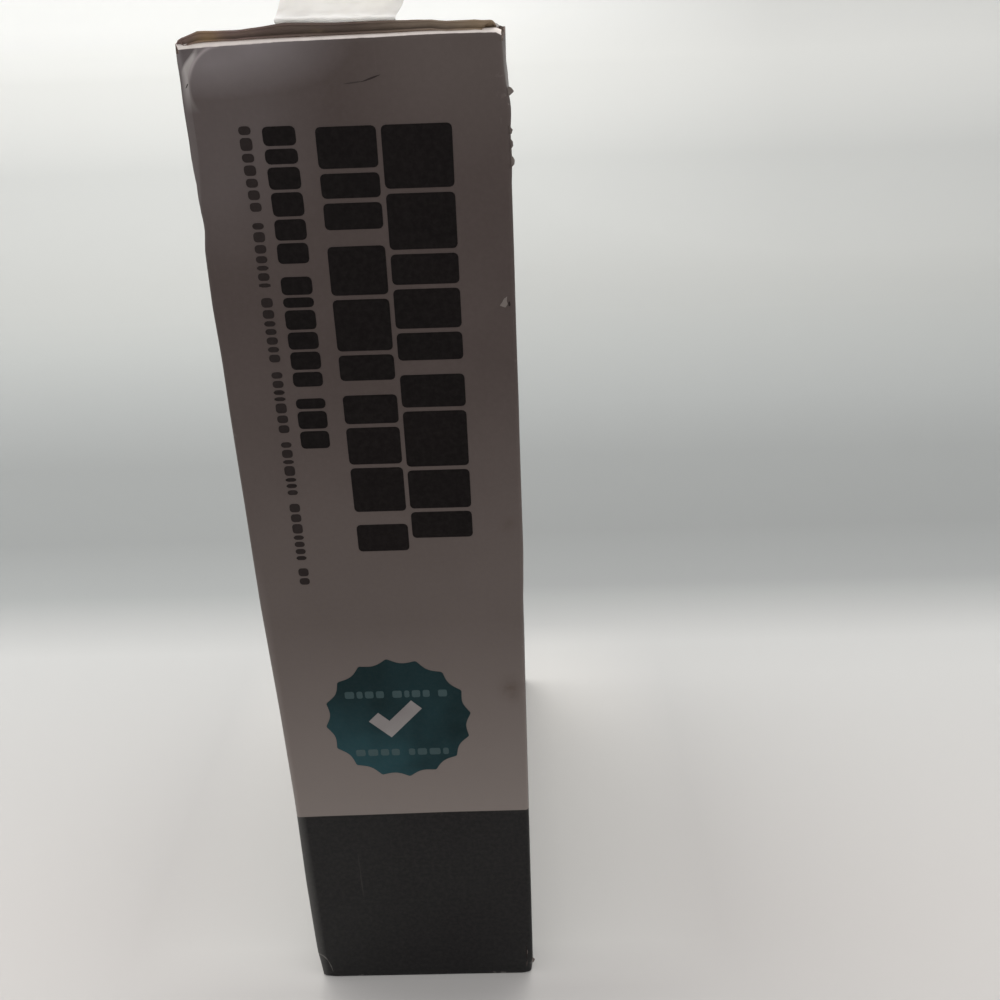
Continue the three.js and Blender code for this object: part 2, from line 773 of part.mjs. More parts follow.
// The sanitizer's pieces, in its own frame: length along X, front towards -Y, lid upwards
addPiece(device, "base_shell", baseShell(), finishes.whiteCasing);
addPiece(device, "bottom_cover", bottomCover(), finishes.whiteCasing);
addPiece(device, "base_liner", baseLiner(), finishes.mirrorPan);
addPiece(device, "lid_gasket", lidGasket(), finishes.darkRubber);
addPiece(device, "lid_liner", lidLiner(), finishes.mirrorPan);
addPiece(device, "device_lid_shell", deviceLidShell(), finishes.whiteCasing);
lampSet("base", baseLinerBottom, -1);
lampSet("upper", lidPanTop, 1);
addPiece(device, "charging_coil", coil(), finishes.copper);
addPiece(
  device,
  "coil_ferrite",
  disc(ferriteRadius, ferriteBottom, ferriteBottom + ferriteThickness, 0, 0, coilSides),
  finishes.ferrite,
);
addPiece(
  device,
  "charging_pad",
  disc(padRadius, deviceHeight - padThickness, deviceHeight, 0, 0, coilSides),
  finishes.darkRubber,
);
addPiece(device, "main_board", circuitBoard(mainBoardPlace), finishes.circuitBoard);
addPiece(device, "power_board", circuitBoard(powerBoardPlace), finishes.circuitBoard);
addPiece(device, "power_socket", powerSocket(), finishes.steel);
addPiece(device, "tact_switch", tactSwitch(), finishes.blackPlastic);
addPiece(device, "power_button", powerButton(), finishes.tealPlastic);
addPiece(
  device,
  "light_pipe",
  rodAlongY(
    lightPipeRadius,
    -deviceWidth / 2,
    frontWallInside + wallClearance,
    lightPipeOffset,
    buttonZ,
  ),
  finishes.clearWindow,
);
addPiece(
  device,
  "lid_sensor",
  block(
    [-sensorOffset - sensorSize, switchFront, mainBoardTop + fitGap],
    [-sensorOffset, switchFront + sensorSize, mainBoardTop + fitGap + sensorHeight],
  ),
  finishes.blackPlastic,
);
addPiece(
  device,
  "lid_magnet",
  disc(
    magnetRadius,
    lidBottom + linerWall + fitGap,
    lidBottom + linerWall + fitGap + magnetHeight,
    -sensorOffset,
    frontWallInside + fitGap + magnetRadius,
  ),
  finishes.steel,
);
pinCentres.forEach((x, i) => {
  const name = ["hinge_pin_left", "hinge_pin_right"][i];
  addPiece(device, name, rodAlongX(pinRadius, x - pinHalf, x + pinHalf, pinY, pinZ), finishes.steel);
});
screwPlaces.forEach(([x, y], i) => {
  addPiece(device, `cover_screw_${i + 1}`, coverScrew(x, y), finishes.steel);
});
const footX = deviceLength / 2 - footInset;
const footY = deviceWidth / 2 - footInset;
sides
  .flatMap((sx) => sides.map((sy) => [sx * footX, sy * footY]))
  .forEach(([x, y], i) => {
    addPiece(device, `foot_${i + 1}`, disc(footRadius, 0, footHeight, x, y), finishes.darkRubber);
  });

// The sanitizer stands on its end in the carton, its lid towards the -X wall
device.rotation.y = -Math.PI / 2;
device.position.set(deviceHeight / 2, 0, deviceStart + deviceLength / 2);
carton.add(device);

export default carton;
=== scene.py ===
import json
import math
import bpy
import numpy as np
from mathutils import Matrix, Vector, noise


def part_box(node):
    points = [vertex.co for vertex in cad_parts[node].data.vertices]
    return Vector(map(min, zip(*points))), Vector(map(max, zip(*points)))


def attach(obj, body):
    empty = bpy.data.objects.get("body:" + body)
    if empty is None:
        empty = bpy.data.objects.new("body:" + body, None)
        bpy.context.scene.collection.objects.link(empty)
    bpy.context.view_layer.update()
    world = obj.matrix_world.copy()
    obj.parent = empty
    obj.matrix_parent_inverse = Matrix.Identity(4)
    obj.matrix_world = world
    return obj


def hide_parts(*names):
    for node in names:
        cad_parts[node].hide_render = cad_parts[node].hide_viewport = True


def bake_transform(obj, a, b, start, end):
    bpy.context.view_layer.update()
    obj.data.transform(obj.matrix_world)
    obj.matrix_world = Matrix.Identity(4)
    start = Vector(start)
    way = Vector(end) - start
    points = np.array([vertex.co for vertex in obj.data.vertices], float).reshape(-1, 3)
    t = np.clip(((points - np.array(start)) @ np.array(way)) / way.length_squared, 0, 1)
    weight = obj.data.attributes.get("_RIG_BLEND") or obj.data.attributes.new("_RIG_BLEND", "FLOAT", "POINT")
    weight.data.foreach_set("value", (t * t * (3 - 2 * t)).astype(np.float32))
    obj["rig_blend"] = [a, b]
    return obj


# The closed retail carton of a UV phone sanitizer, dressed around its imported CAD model.
# Lengths are written in millimetres and become metres in makePiece.
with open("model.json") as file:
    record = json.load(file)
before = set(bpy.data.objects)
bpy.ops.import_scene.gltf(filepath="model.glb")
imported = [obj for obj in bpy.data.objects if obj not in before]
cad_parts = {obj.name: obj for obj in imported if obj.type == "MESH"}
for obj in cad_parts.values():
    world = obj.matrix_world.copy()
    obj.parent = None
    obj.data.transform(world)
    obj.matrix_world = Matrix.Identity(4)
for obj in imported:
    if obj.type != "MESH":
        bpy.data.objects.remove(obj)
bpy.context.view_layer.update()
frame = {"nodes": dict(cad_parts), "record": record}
print("frame loaded:", len(frame["nodes"]), "nodes")

mm = 0.001


def nodeBox(node):
    low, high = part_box(node)
    return np.array(low) / mm, np.array(high) / mm


tubeHigh = nodeBox("carton_tube")[1]
lidLow, lidHigh = nodeBox("lid_panel")
dustHigh = nodeBox("dust_flap_front")[1]
tapeLow, tapeHigh = nodeBox("seal_tape")
leafletLow, leafletHigh = nodeBox("leaflet")
halfWidth = float(tubeHigh[0])
halfDepth = float(tubeHigh[1])
cartonTop = float(lidHigh[2])
dustTop = float(dustHigh[2])
board = float(lidHigh[2] - lidLow[2])

cartonShape = {
    "cornerRadius": 1.7,  # vertical folds between the walls
    "creaseRadius": 1.8,  # folds of the dust flaps
    "hingeRadius": 1.9,  # fold of the lid
    "liner": 0.28,  # paper liner on each side of the flutes
    "recess": 0.55,  # how far the crushed flutes stand back behind a raw edge
    "bandTop": 57.9,  # upper edge of the black print
    "frontStep": 1.4,
    "sideStep": 3.4,
    "rearStep": 2.4,
    "levelStep": 2.4,
    "topLevelStep": 1.2,
}
spineTop = dustTop - cartonShape["creaseRadius"]
hingeTop = cartonTop - cartonShape["hingeRadius"]
tuckTop = float(tubeHigh[2])

# wear: one smooth field moves every carton piece and every print in the same way
wearAmounts = {
    "spineBow": 0.28,
    "sideBow": 0.7,
    "unevenness": 0.12,
    "drift": 0.13,
    "facet": 2.1,  # the front hinge corner is flattened below the lid
    "tuckLean": 0.6,  # the top of the tuck side's wall leans in
    "bandSlope": 0.9,  # the edge of the black print climbs towards the tuck side
}
# how far the two front folds stand out at each height: first the hinge side's, then the tuck side's
bulgeHeights = [0, 36, 62, 90, 120, 133, 146, 157, 169, 179, 190, 199.5, 208, 218, 226, 235, 240]
bulges = [0.05, 0.38, 0.18, 0.41, 0.9, 0.87, 0.8, 0.85, 0.88, 0.81, 1.08, 0.93, 0.49, 1.15, 1.24, 1.14, 1.1]
tuckHeights = [0, 28, 62, 78, 107, 119, 125, 133, 158, 168, 182, 200, 212]
tuckBulges = [-0.25, -0.2, -0.3, -0.27, -0.23, -0.1, 0.15, 0.36, 0.31, 0.32, 0.2, 0.11, 0.0]
# how the front fold under the lid rises from the hinge side to the tuck side
foldMarks = [-29.75, -24.0, -17.0, -11.0, -2.0, 8.0, 14.0, 20.0, 28.8, 29.75]
foldRises = [0.1, 0.35, 0.5, 0.58, 0.68, 0.78, 0.92, 0.94, 0.82, 0.2]
# centre, reach and push of each dent
footDent = ((-halfWidth, -halfDepth, 0.0), (3.8, 5.0, 9.5), (0.55, 0.5, 0.0))
dents = [
    footDent,
    ((-halfWidth, -halfDepth, 238.4), (8.8, 7.0, 9.5), (0.1, 0.8, -0.1)),
    ((-halfWidth + 3.0, -halfDepth, 236.2), (2.6, 2.0, 1.5), (0.0, 0.5, 0.0)),
    ((-halfWidth, -halfDepth, 205.0), (2.8, 4.0, 3.4), (0.3, 0.2, 0.0)),
    ((halfWidth, -halfDepth, 0.0), (2.6, 4.0, 6.0), (-0.5, 0.45, 0.0)),
    ((halfWidth, -halfDepth, 242.0), (3.0, 4.0, 15.0), (-0.75, 0.2, 0.0)),
    ((halfWidth, -halfDepth, 239.0), (2.0, 2.5, 1.8), (-0.2, 0.2, -0.4)),
    ((halfWidth, -halfDepth, 225.0), (2.0, 3.0, 4.0), (0.3, 0.05, 0.0)),
    ((halfWidth, -halfDepth, 216.0), (1.8, 3.0, 4.5), (0.22, 0.1, 0.0)),
    ((halfWidth, -halfDepth, 189.5), (1.4, 2.0, 1.6), (-0.2, 0.2, 0.0)),
    ((halfWidth, halfDepth, 237.0), (4.0, 6.0, 8.0), (-0.7, -0.6, -0.1)),
    ((-halfWidth, halfDepth, 0.0), (3.0, 4.0, 7.0), (0.5, -0.5, 0.0)),
    ((halfWidth, halfDepth, 0.0), (3.4, 5.0, 8.0), (-0.5, -0.5, 0.0)),
    ((3.0, -halfDepth, 230.6), (6.0, 1.5, 1.4), (0.0, 0.14, 0.0)),
    ((9.0, -halfDepth, 66.0), (9.0, 1.5, 5.0), (0.0, 0.12, 0.0)),
    ((halfWidth, 22.0, 150.0), (1.6, 14.0, 9.0), (-0.35, 0.0, 0.0)),
    ((-halfWidth, -18.0, 96.0), (1.6, 18.0, 12.0), (0.4, 0.0, 0.0)),
    ((-halfWidth, 41.0, 188.0), (1.6, 9.0, 14.0), (0.35, 0.0, 0.0)),
]


def smoothStep(start, end, value):
    t = np.clip((np.asarray(value, float) - start) / (end - start), 0, 1)
    return t * t * (3 - 2 * t)


def wear(points):
    p = np.array(points, float).reshape(-1, 3)
    x, y, z = p[:, 0].copy(), p[:, 1].copy(), p[:, 2].copy()
    across = np.clip(x / halfWidth, -1, 1)
    along = np.clip(y / halfDepth, -1, 1)
    up = np.clip(z / cartonTop, 0, 1)
    free = np.sin(np.pi * up) ** 0.9  # the flaps hold both ends
    onSide = 1 - along**2
    onSpine = 1 - across**2
    ripple = np.sin(0.085 * y + 0.031 * z + 0.8) * np.sin(0.047 * z - 0.03 * y + 0.4)
    ripple += 0.5 * np.sin(0.16 * x + 0.07 * z + 2.1) * np.sin(0.11 * z + 0.9)
    amount = wearAmounts["unevenness"] * ripple * smoothStep(0, 12, z)
    p[:, 0] -= across * onSide * (wearAmounts["sideBow"] * free + amount)
    p[:, 1] -= along * onSpine * (wearAmounts["spineBow"] * free + amount)
    drift = wearAmounts["drift"] * smoothStep(0, 30, z)
    p[:, 0] += drift * np.sin(z / 27 + y / 55)
    p[:, 1] += drift * np.sin(z / 34 + x / 40 + 1.7)
    nearFront = np.clip((1 - along) / 2, 0, 1)
    p[:, 0] -= np.interp(z, bulgeHeights, bulges) * ((1 - across) / 2) ** 4 * nearFront
    p[:, 0] += np.interp(z, tuckHeights, tuckBulges) * ((1 + across) / 2) ** 4 * nearFront
    p[:, 0] -= wearAmounts["tuckLean"] * np.clip(across, 0, 1) ** 8 * smoothStep(224, 232, z)
    behind = np.clip(y + halfDepth, 0, None)
    nearBand = np.exp(-((z - cartonShape["bandTop"]) / 14) ** 2 - behind / 40)
    p[:, 2] += wearAmounts["bandSlope"] * (1 + across) / 2 * nearBand
    frontEdge = np.exp(-behind / 4.0)
    p[:, 2] += np.interp(x, foldMarks, foldRises) * frontEdge * smoothStep(226, 237, z)
    facet = wearAmounts["facet"] * smoothStep(201, 222, z) * (1 - 0.35 * smoothStep(231, 238, z))
    cut = np.clip(facet - (x + halfWidth) - (y + halfDepth), 0, None) / 2
    p[:, 0] += cut
    p[:, 1] += cut
    for centre, reach, push in dents:
        away = np.sqrt(sum(((v - c) / r) ** 2 for v, c, r in zip((x, y, z), centre, reach)))
        amount = np.clip(1 - away, 0, 1) ** 0.85
        p += amount[:, None] * np.array(push)
    return p


def roughness(points, scale, seed):
    # smooth noise from -1 to 1 at each point
    offset = Vector((seed, seed * 0.7, -seed))
    return np.array([noise.noise(Vector(p) * scale + offset) for p in np.asarray(points, float)])


# materials
def paint(red, green, blue):
    def linear(value):
        v = value / 255
        return v / 12.92 if v <= 0.04045 else ((v + 0.055) / 1.055) ** 2.4

    return (linear(red), linear(green), linear(blue), 1.0)


def addNode(tree, kind, inputs=None, **settings):
    made = tree.nodes.new(kind)
    for key, value in settings.items():
        setattr(made, key, value)
    for key, value in (inputs or {}).items():
        socket = made.inputs[key]
        if isinstance(value, bpy.types.NodeSocket):
            tree.links.new(value, socket)
        else:
            socket.default_value = value
    return made


def noiseAt(tree, where, scale, detail, rough=0.55):
    inputs = {"Vector": where, "Scale": scale, "Detail": detail, "Roughness": rough}
    return addNode(tree, "ShaderNodeTexNoise", inputs).outputs["Fac"]


def mixColour(tree, factor, low, high):
    return addNode(tree, "ShaderNodeMix", {0: factor, 6: low, 7: high}, data_type="RGBA").outputs[2]


def spread(tree, value, fromLow, fromHigh, toLow=0.0, toHigh=1.0):
    inputs = {"Value": value, "From Min": fromLow, "From Max": fromHigh, "To Min": toLow, "To Max": toHigh}
    return addNode(tree, "ShaderNodeMapRange", inputs, clamp=True).outputs["Result"]


def combine(tree, operation, first, second):
    made = addNode(tree, "ShaderNodeMath", {0: first, 1: second}, operation=operation, use_clamp=True)
    return made.outputs[0]


def product(tree, first, *factors):
    for factor in factors:
        first = combine(tree, "MULTIPLY", first, factor)
    return first


def axes(tree, where):
    return addNode(tree, "ShaderNodeSeparateXYZ", {0: where}).outputs


def emptyMaterial(name):
    material = bpy.data.materials.new(name)
    material.use_nodes = True
    tree = material.node_tree
    shader = tree.nodes["Principled BSDF"]
    where = addNode(tree, "ShaderNodeTexCoord").outputs["Object"]
    return material, tree, shader, where


def surface(tree, shader, colour, rough, heights, specular=0.5):
    # heights: noise socket, strength, distance; one bump feeds the next
    tree.links.new(colour, shader.inputs["Base Color"])
    tree.links.new(rough, shader.inputs["Roughness"])
    shader.inputs["Specular IOR Level"].default_value = specular
    last = None
    for height, strength, distance in heights:
        inputs = {"Height": height, "Strength": strength, "Distance": distance * mm}
        if last is not None:
            inputs["Normal"] = last
        last = addNode(tree, "ShaderNodeBump", inputs).outputs["Normal"]
    tree.links.new(last, shader.inputs["Normal"])


def plainFinish(name, light, dark, grain, gloss, bump, extra=None):
    # light and dark: colours mixed by a noise of that grain; gloss: lowest and highest roughness;
    # bump: scale, strength and depth in mm; extra: other inputs of the shader
    material, tree, shader, where = emptyMaterial(name)
    mottle = spread(tree, noiseAt(tree, where, grain, 5.0), 0.35, 0.65)
    colour = mixColour(tree, mottle, paint(*light), paint(*dark))
    rough = spread(tree, noiseAt(tree, where, grain * 6, 3.0), 0.3, 0.7, *gloss)
    bumpScale, strength, depth = bump
    surface(tree, shader, colour, rough, [(noiseAt(tree, where, bumpScale, 4.0), strength, depth)])
    for key, value in (extra or {}).items():
        shader.inputs[key].default_value = value
    return material


printColours = {
    "face": (83, 73, 70),
    "faceDark": (77, 67, 64),
    # painted light: paler towards the foot, lit from the floor
    "faceLow": (130, 121, 116),
    # painted sheen at the hinge corner under the lid
    "faceSheen": (138, 131, 132),
    # painted sheen along the hinge side's fold
    "faceFoldSheen": (160, 152, 148),
    # painted light and shade at the bent corner: lit facet, shaded hollow, crease highlight
    "facet": (174, 168, 165),
    "hollowShade": (66, 57, 57),
    "crease": (178, 168, 168),
    "band": (28, 28, 28),
    "bandDark": (24, 23, 24),
    # painted sheen along the hinge side's fold
    "bandFoldSheen": (88, 87, 85),
    "fibre": (130, 122, 117),
    "scratch": (140, 132, 127),
    # rubbed wear, and a painted highlight on the folds and the foot dent's crease
    "wearAndHighlight": (246, 236, 229),
    "stain": (66, 50, 38),
    "letter": (17, 12, 12),
    # also the painted shade towards the seal's top
    "tealDark": (17, 38, 41),
}


def printTone(key):
    return paint(*printColours[key])


def attribute(tree, name):
    return addNode(tree, "ShaderNodeAttribute", attribute_name=name).outputs["Fac"]


def awayFrom(tree, where, centre, reach):
    # distance from a centre in mm, as a share of the reach along each axis
    scale = [1 / (r * mm) for r in reach]
    place = [-c / r for c, r in zip(centre, reach)]
    moved = addNode(tree, "ShaderNodeMapping", {"Vector": where, "Location": place, "Scale": scale})
    length = addNode(tree, "ShaderNodeVectorMath", {0: moved.outputs["Vector"]}, operation="LENGTH")
    return length.outputs["Value"]


def creaseHighlightArc(tree, where, centre, reach, width):
    # a thin band where the surface crosses the rim of a dent's ellipsoid, for a painted highlight along its
    # crease
    length = awayFrom(tree, where, centre, reach)
    below = spread(tree, length, 0.93 - width, 0.93)
    above = spread(tree, length, 0.95, 0.95 + width, 1.0, 0.0)
    return product(tree, below, above)


def ramp(tree, parts, axis, start, end):
    return spread(tree, parts[axis], start * mm, end * mm)


# where the painted light and shade of the bent corner lie
bentCorner = {
    "centre": (-22.2, -halfDepth, 230.5),  # of the ellipse round the facet
    "reach": (6.3, 60.0, 6.8),
    "hinge": -30.6,  # from here the border between hollow and facet climbs
    "slope": 1.08,
    "border": (232.3, 233.0),
}


def cornerLightAndShade(tree, where, parts, body):
    # painted light and shade at the bent corner under the lid: a painted highlight along the crease, painted
    # shade in the hollow above it and a painted lit facet below
    front = ramp(tree, parts, "Y", -68.0, -69.0)
    away = awayFrom(tree, where, bentCorner["centre"], bentCorner["reach"])
    climb = combine(tree, "ADD", parts["X"], -bentCorner["hinge"] * mm)
    level = combine(tree, "SUBTRACT", parts["Z"], product(tree, climb, bentCorner["slope"]))
    low, high = (height * mm for height in bentCorner["border"])
    # painted shade in the hollow
    hollowShade = product(
        tree, spread(tree, away, 1.0, 1.1, 0.0, 0.55), front,
        ramp(tree, parts, "X", -24.0, -27.0), spread(tree, level, low, high),
    )
    body = mixColour(tree, hollowShade, body, printTone("hollowShade"))
    # painted light on the facet
    facet = product(
        tree, spread(tree, away, 0.97, 1.06), front,
        ramp(tree, parts, "X", -26.2, -27.3), spread(tree, level, high, low),
        ramp(tree, parts, "Z", 226.0, 234.6),
    )
    body = mixColour(tree, facet, body, printTone("facet"))
    # painted highlight along the crease round the facet
    rim = product(
        tree, spread(tree, away, 0.93, 0.99), spread(tree, away, 1.06, 1.0), front,
        ramp(tree, parts, "X", -22.0, -24.5), ramp(tree, parts, "Z", 231.5, 234.0), 0.65,
    )
    return mixColour(tree, rim, body, printTone("crease"))


def upperPrint(tree, where, parts, front, cloudy):
    # the grey-brown print with painted light: paler towards its foot where light from the floor falls, also
    # paler at the tuck corner, and a painted sheen round the bent corner
    body = mixColour(tree, cloudy, printTone("face"), printTone("faceDark"))
    # painted light: paler towards the foot, lit from the floor
    foot = ramp(tree, parts, "Z", 135.0, 56.0)
    low = combine(tree, "MAXIMUM", foot, spread(tree, parts["Z"], 0.180, 0.125, 0.0, 0.25))
    away = awayFrom(tree, where, (22.0, -halfDepth, 240.0), (24.0, 30.0, 24.0))
    low = combine(tree, "MAXIMUM", low, product(tree, spread(tree, away, 1.1, 0.3, 0.0, 0.18), front))
    body = mixColour(tree, low, body, printTone("faceLow"))
    # painted sheen: paler patches round the hinge corner under the lid
    away = awayFrom(tree, where, (-24.0, -halfDepth, 238.0), (22.0, 30.0, 9.5))
    patches = spread(tree, noiseAt(tree, where, 45.0, 4.0), 0.25, 0.6, 0.7, 1.0)
    paintedSheen = product(tree, spread(tree, away, 1.2, 0.4, 0.0, 0.85), patches)
    away = awayFrom(tree, where, (-28.0, -halfDepth, 226.0), (22.0, 30.0, 26.0))
    paintedSheen = combine(tree, "MAXIMUM", paintedSheen, spread(tree, away, 1.15, 0.55, 0.0, 0.15))
    body = mixColour(tree, product(tree, paintedSheen, front), body, printTone("faceSheen"))
    body = cornerLightAndShade(tree, where, parts, body)
    # painted sheen along the hinge side's fold
    foldSheen = product(tree, ramp(tree, parts, "X", -28.4, -30.0), front, foot, 0.6)
    return mixColour(tree, foldSheen, body, printTone("faceFoldSheen"))


def bandPrint(tree, where, parts, front, cloudy):
    # the black print, with a painted sheen where the hinge side's fold bends it
    body = mixColour(tree, cloudy, printTone("band"), printTone("bandDark"))
    foldSheen = product(tree, ramp(tree, parts, "X", -27.3, -30.0), front)
    return mixColour(tree, foldSheen, body, printTone("bandFoldSheen"))


def printedBoard(name, tinted):
    # matt laminated print: fibre mottling, rubbed folds with a painted highlight, fine scratches, smudges
    material, tree, shader, where = emptyMaterial(name)
    parts = axes(tree, where)
    front = ramp(tree, parts, "Y", -67.4, -68.4)
    cloudy = spread(tree, noiseAt(tree, where, 26.0, 3.0), 0.35, 0.65)
    fibres = noiseAt(tree, where, 900.0, 4.0, 0.7)
    body = tinted(tree, where, parts, front, cloudy)
    body = mixColour(tree, spread(tree, fibres, 0.4, 0.8, 0.0, 0.06), body, printTone("fibre"))
    stretch = {"Vector": where, "Scale": (160.0, 160.0, 5.0), "Rotation": (0.5, 0.3, 0.0)}
    long = addNode(tree, "ShaderNodeMapping", stretch).outputs["Vector"]
    scratches = spread(tree, noiseAt(tree, long, 3.0, 6.0, 0.6), 0.7, 0.74, 0.0, 0.09)
    body = mixColour(tree, scratches, body, printTone("scratch"))
    smudge = product(tree, attribute(tree, "stain"), spread(tree, fibres, 0.2, 0.6, 0.3, 0.9))
    body = mixColour(tree, smudge, body, printTone("stain"))
    nibbled = noiseAt(tree, where, 420.0, 5.0, 0.65)
    # pale mask: rubbed wear, and on the folds a painted highlight
    rubbed = attribute(tree, "wearAndHighlight")
    kept = product(tree, combine(tree, "SUBTRACT", 1.1, rubbed), spread(tree, nibbled, 0.35, 0.65, 0.0, 0.8))
    edge = combine(tree, "SUBTRACT", product(tree, rubbed, 1.6), kept)
    # painted highlight along the crease of the foot dent
    creaseHighlight = creaseHighlightArc(tree, where, footDent[0], footDent[1], 0.035)
    creaseHighlight = product(tree, creaseHighlight, spread(tree, nibbled, 0.3, 0.6, 0.04, 0.2), ramp(tree, parts, "Z", 1.5, 4.0))
    edge = combine(tree, "MAXIMUM", edge, creaseHighlight)
    body = mixColour(tree, edge, body, printTone("wearAndHighlight"))
    gloss = spread(tree, noiseAt(tree, where, 60.0, 4.0), 0.3, 0.7, 0.36, 0.5)
    rough = combine(tree, "MAXIMUM", gloss, edge)
    dimples = noiseAt(tree, where, 70.0, 3.0)
    heights = [(dimples, 0.25, 0.25), (fibres, 0.12, 0.03), (scratches, 0.1, 0.02)]
    surface(tree, shader, body, rough, heights, 0.14)
    return material


def kraft(name, light, dark, flutes=False):
    # brown liner: long pale and dark fibres, and the faint washboard of the flutes
    material, tree, shader, where = emptyMaterial(name)
    stretch = (900.0, 900.0, 220.0) if flutes else (160.0, 500.0, 1100.0)
    long = addNode(tree, "ShaderNodeMapping", {"Vector": where, "Scale": stretch}).outputs["Vector"]
    fibres = noiseAt(tree, long, 1.0, 5.0, 0.7)
    cloudy = spread(tree, noiseAt(tree, where, 60.0, 3.0), 0.3, 0.7)
    body = mixColour(tree, cloudy, paint(*light), paint(*dark))
    if not flutes:
        across = attribute(tree, "across")
        body = mixColour(tree, spread(tree, across, 0.07, 0.8, 0.0, 0.75), body, paint(166, 149, 130))
        body = mixColour(tree, spread(tree, across, -0.27, -0.74, 0.0, 0.6), body, paint(146, 122, 118))
        # painted shade: the raw edge darker towards the board's inner liner
        deep = combine(tree, "ADD", attribute(tree, "deep"), spread(tree, fibres, 0.35, 0.65, 0.0, 0.25))
        body = mixColour(tree, spread(tree, deep, 0.45, 0.85, 0.0, 0.7), body, paint(66, 54, 45))
    body = mixColour(tree, spread(tree, fibres, 0.55, 0.75, 0.0, 0.35), body, paint(160, 142, 118))
    body = mixColour(tree, spread(tree, fibres, 0.42, 0.28, 0.0, 0.55), body, paint(70, 52, 38))
    glue = product(tree, attribute(tree, "stain"), spread(tree, cloudy, 0.0, 1.0, 0.25, 0.8))
    body = mixColour(tree, glue, body, paint(158, 132, 92))
    heights = [(fibres, 0.4, 0.05)]
    if flutes:
        waving = {"Vector": where, "Scale": 50.0, "Distortion": 0.6}
        wave = addNode(tree, "ShaderNodeTexWave", waving, bands_direction="Y")
        heights.append((wave.outputs["Fac"], 0.25, 0.06))
    surface(tree, shader, body, spread(tree, fibres, 0.3, 0.7, 0.78, 0.95), heights, 0.2)
    return material


def inkFinish(name, colour, darker, low=None, high=None):
    # a print on the board: matt ink with the same fibre mottling, and painted shade that leaves it lighter
    # towards its foot
    material, tree, shader, where = emptyMaterial(name)
    fibres = noiseAt(tree, where, 900.0, 4.0, 0.7)
    cloudy = spread(tree, noiseAt(tree, where, 40.0, 3.0), 0.35, 0.65)
    body = mixColour(tree, cloudy, paint(*colour), paint(*darker))
    # painted shade: darker towards the top
    if low is not None:
        shadedAbove = spread(tree, axes(tree, where)["Z"], low * mm, high * mm, 0.0, 0.75)
        body = mixColour(tree, shadedAbove, body, paint(*darker))
    speckle = spread(tree, fibres, 0.4, 0.8, 0.0, 0.04)
    body = mixColour(tree, speckle, body, paint(120, 114, 110))
    surface(tree, shader, body, spread(tree, fibres, 0.3, 0.7, 0.4, 0.55), [(fibres, 0.12, 0.03)], 0.08)
    return material


printedUpper = printedBoard("printedUpper", upperPrint)
printedBand = printedBoard("printedBand", bandPrint)
kraftLiner = kraft("kraftLiner", (134, 106, 80), (112, 87, 64), True)
kraftEdge = kraft("kraftEdge", (120, 105, 97), (96, 82, 76))
kraftCore = kraft("kraftCore", (110, 97, 88), (84, 72, 66))
darkInk = inkFinish("darkInk", printColours["letter"], (13, 9, 9))
thinInk = inkFinish("thinInk", (44, 37, 36), (37, 31, 30))
# the seal, with painted shade darker towards its top
tealInk = inkFinish("tealInk", (40, 72, 78), printColours["tealDark"], 72.0, 98.0)
scratchInk = inkFinish("scratchInk", (56, 48, 47), (48, 41, 40))
paleInk = inkFinish("paleInk", (150, 146, 144), (128, 122, 121))
chipPaper = inkFinish("chipPaper", (122, 114, 109), (100, 92, 88))
faintInk = inkFinish("faintInk", (66, 84, 86), (58, 76, 78))
greyInk = inkFinish("greyInk", (70, 62, 60), (62, 55, 53))
tapePaper = plainFinish(
    "tapePaper", (255, 251, 243), (252, 246, 235), 90.0, (0.7, 0.9), (300.0, 0.4, 0.15),
    {
        "Specular IOR Level": 0.3, "Subsurface Weight": 0.6, "Subsurface Scale": 0.0015,
        "Subsurface Radius": (1.0, 0.97, 0.92),
    },
)
tornPaper = plainFinish("tornPaper", (128, 119, 113), (98, 88, 84), 400.0, (0.8, 0.95), (900.0, 0.5, 0.08))
pulpFinish = plainFinish(
    "pulpFinish", (172, 162, 148), (150, 141, 128), 220.0, (0.88, 0.98), (700.0, 0.7, 0.35)
)
leafletFinish = plainFinish(
    "leafletFinish", (200, 197, 190), (188, 185, 177), 160.0, (0.7, 0.85), (900.0, 0.2, 0.03)
)
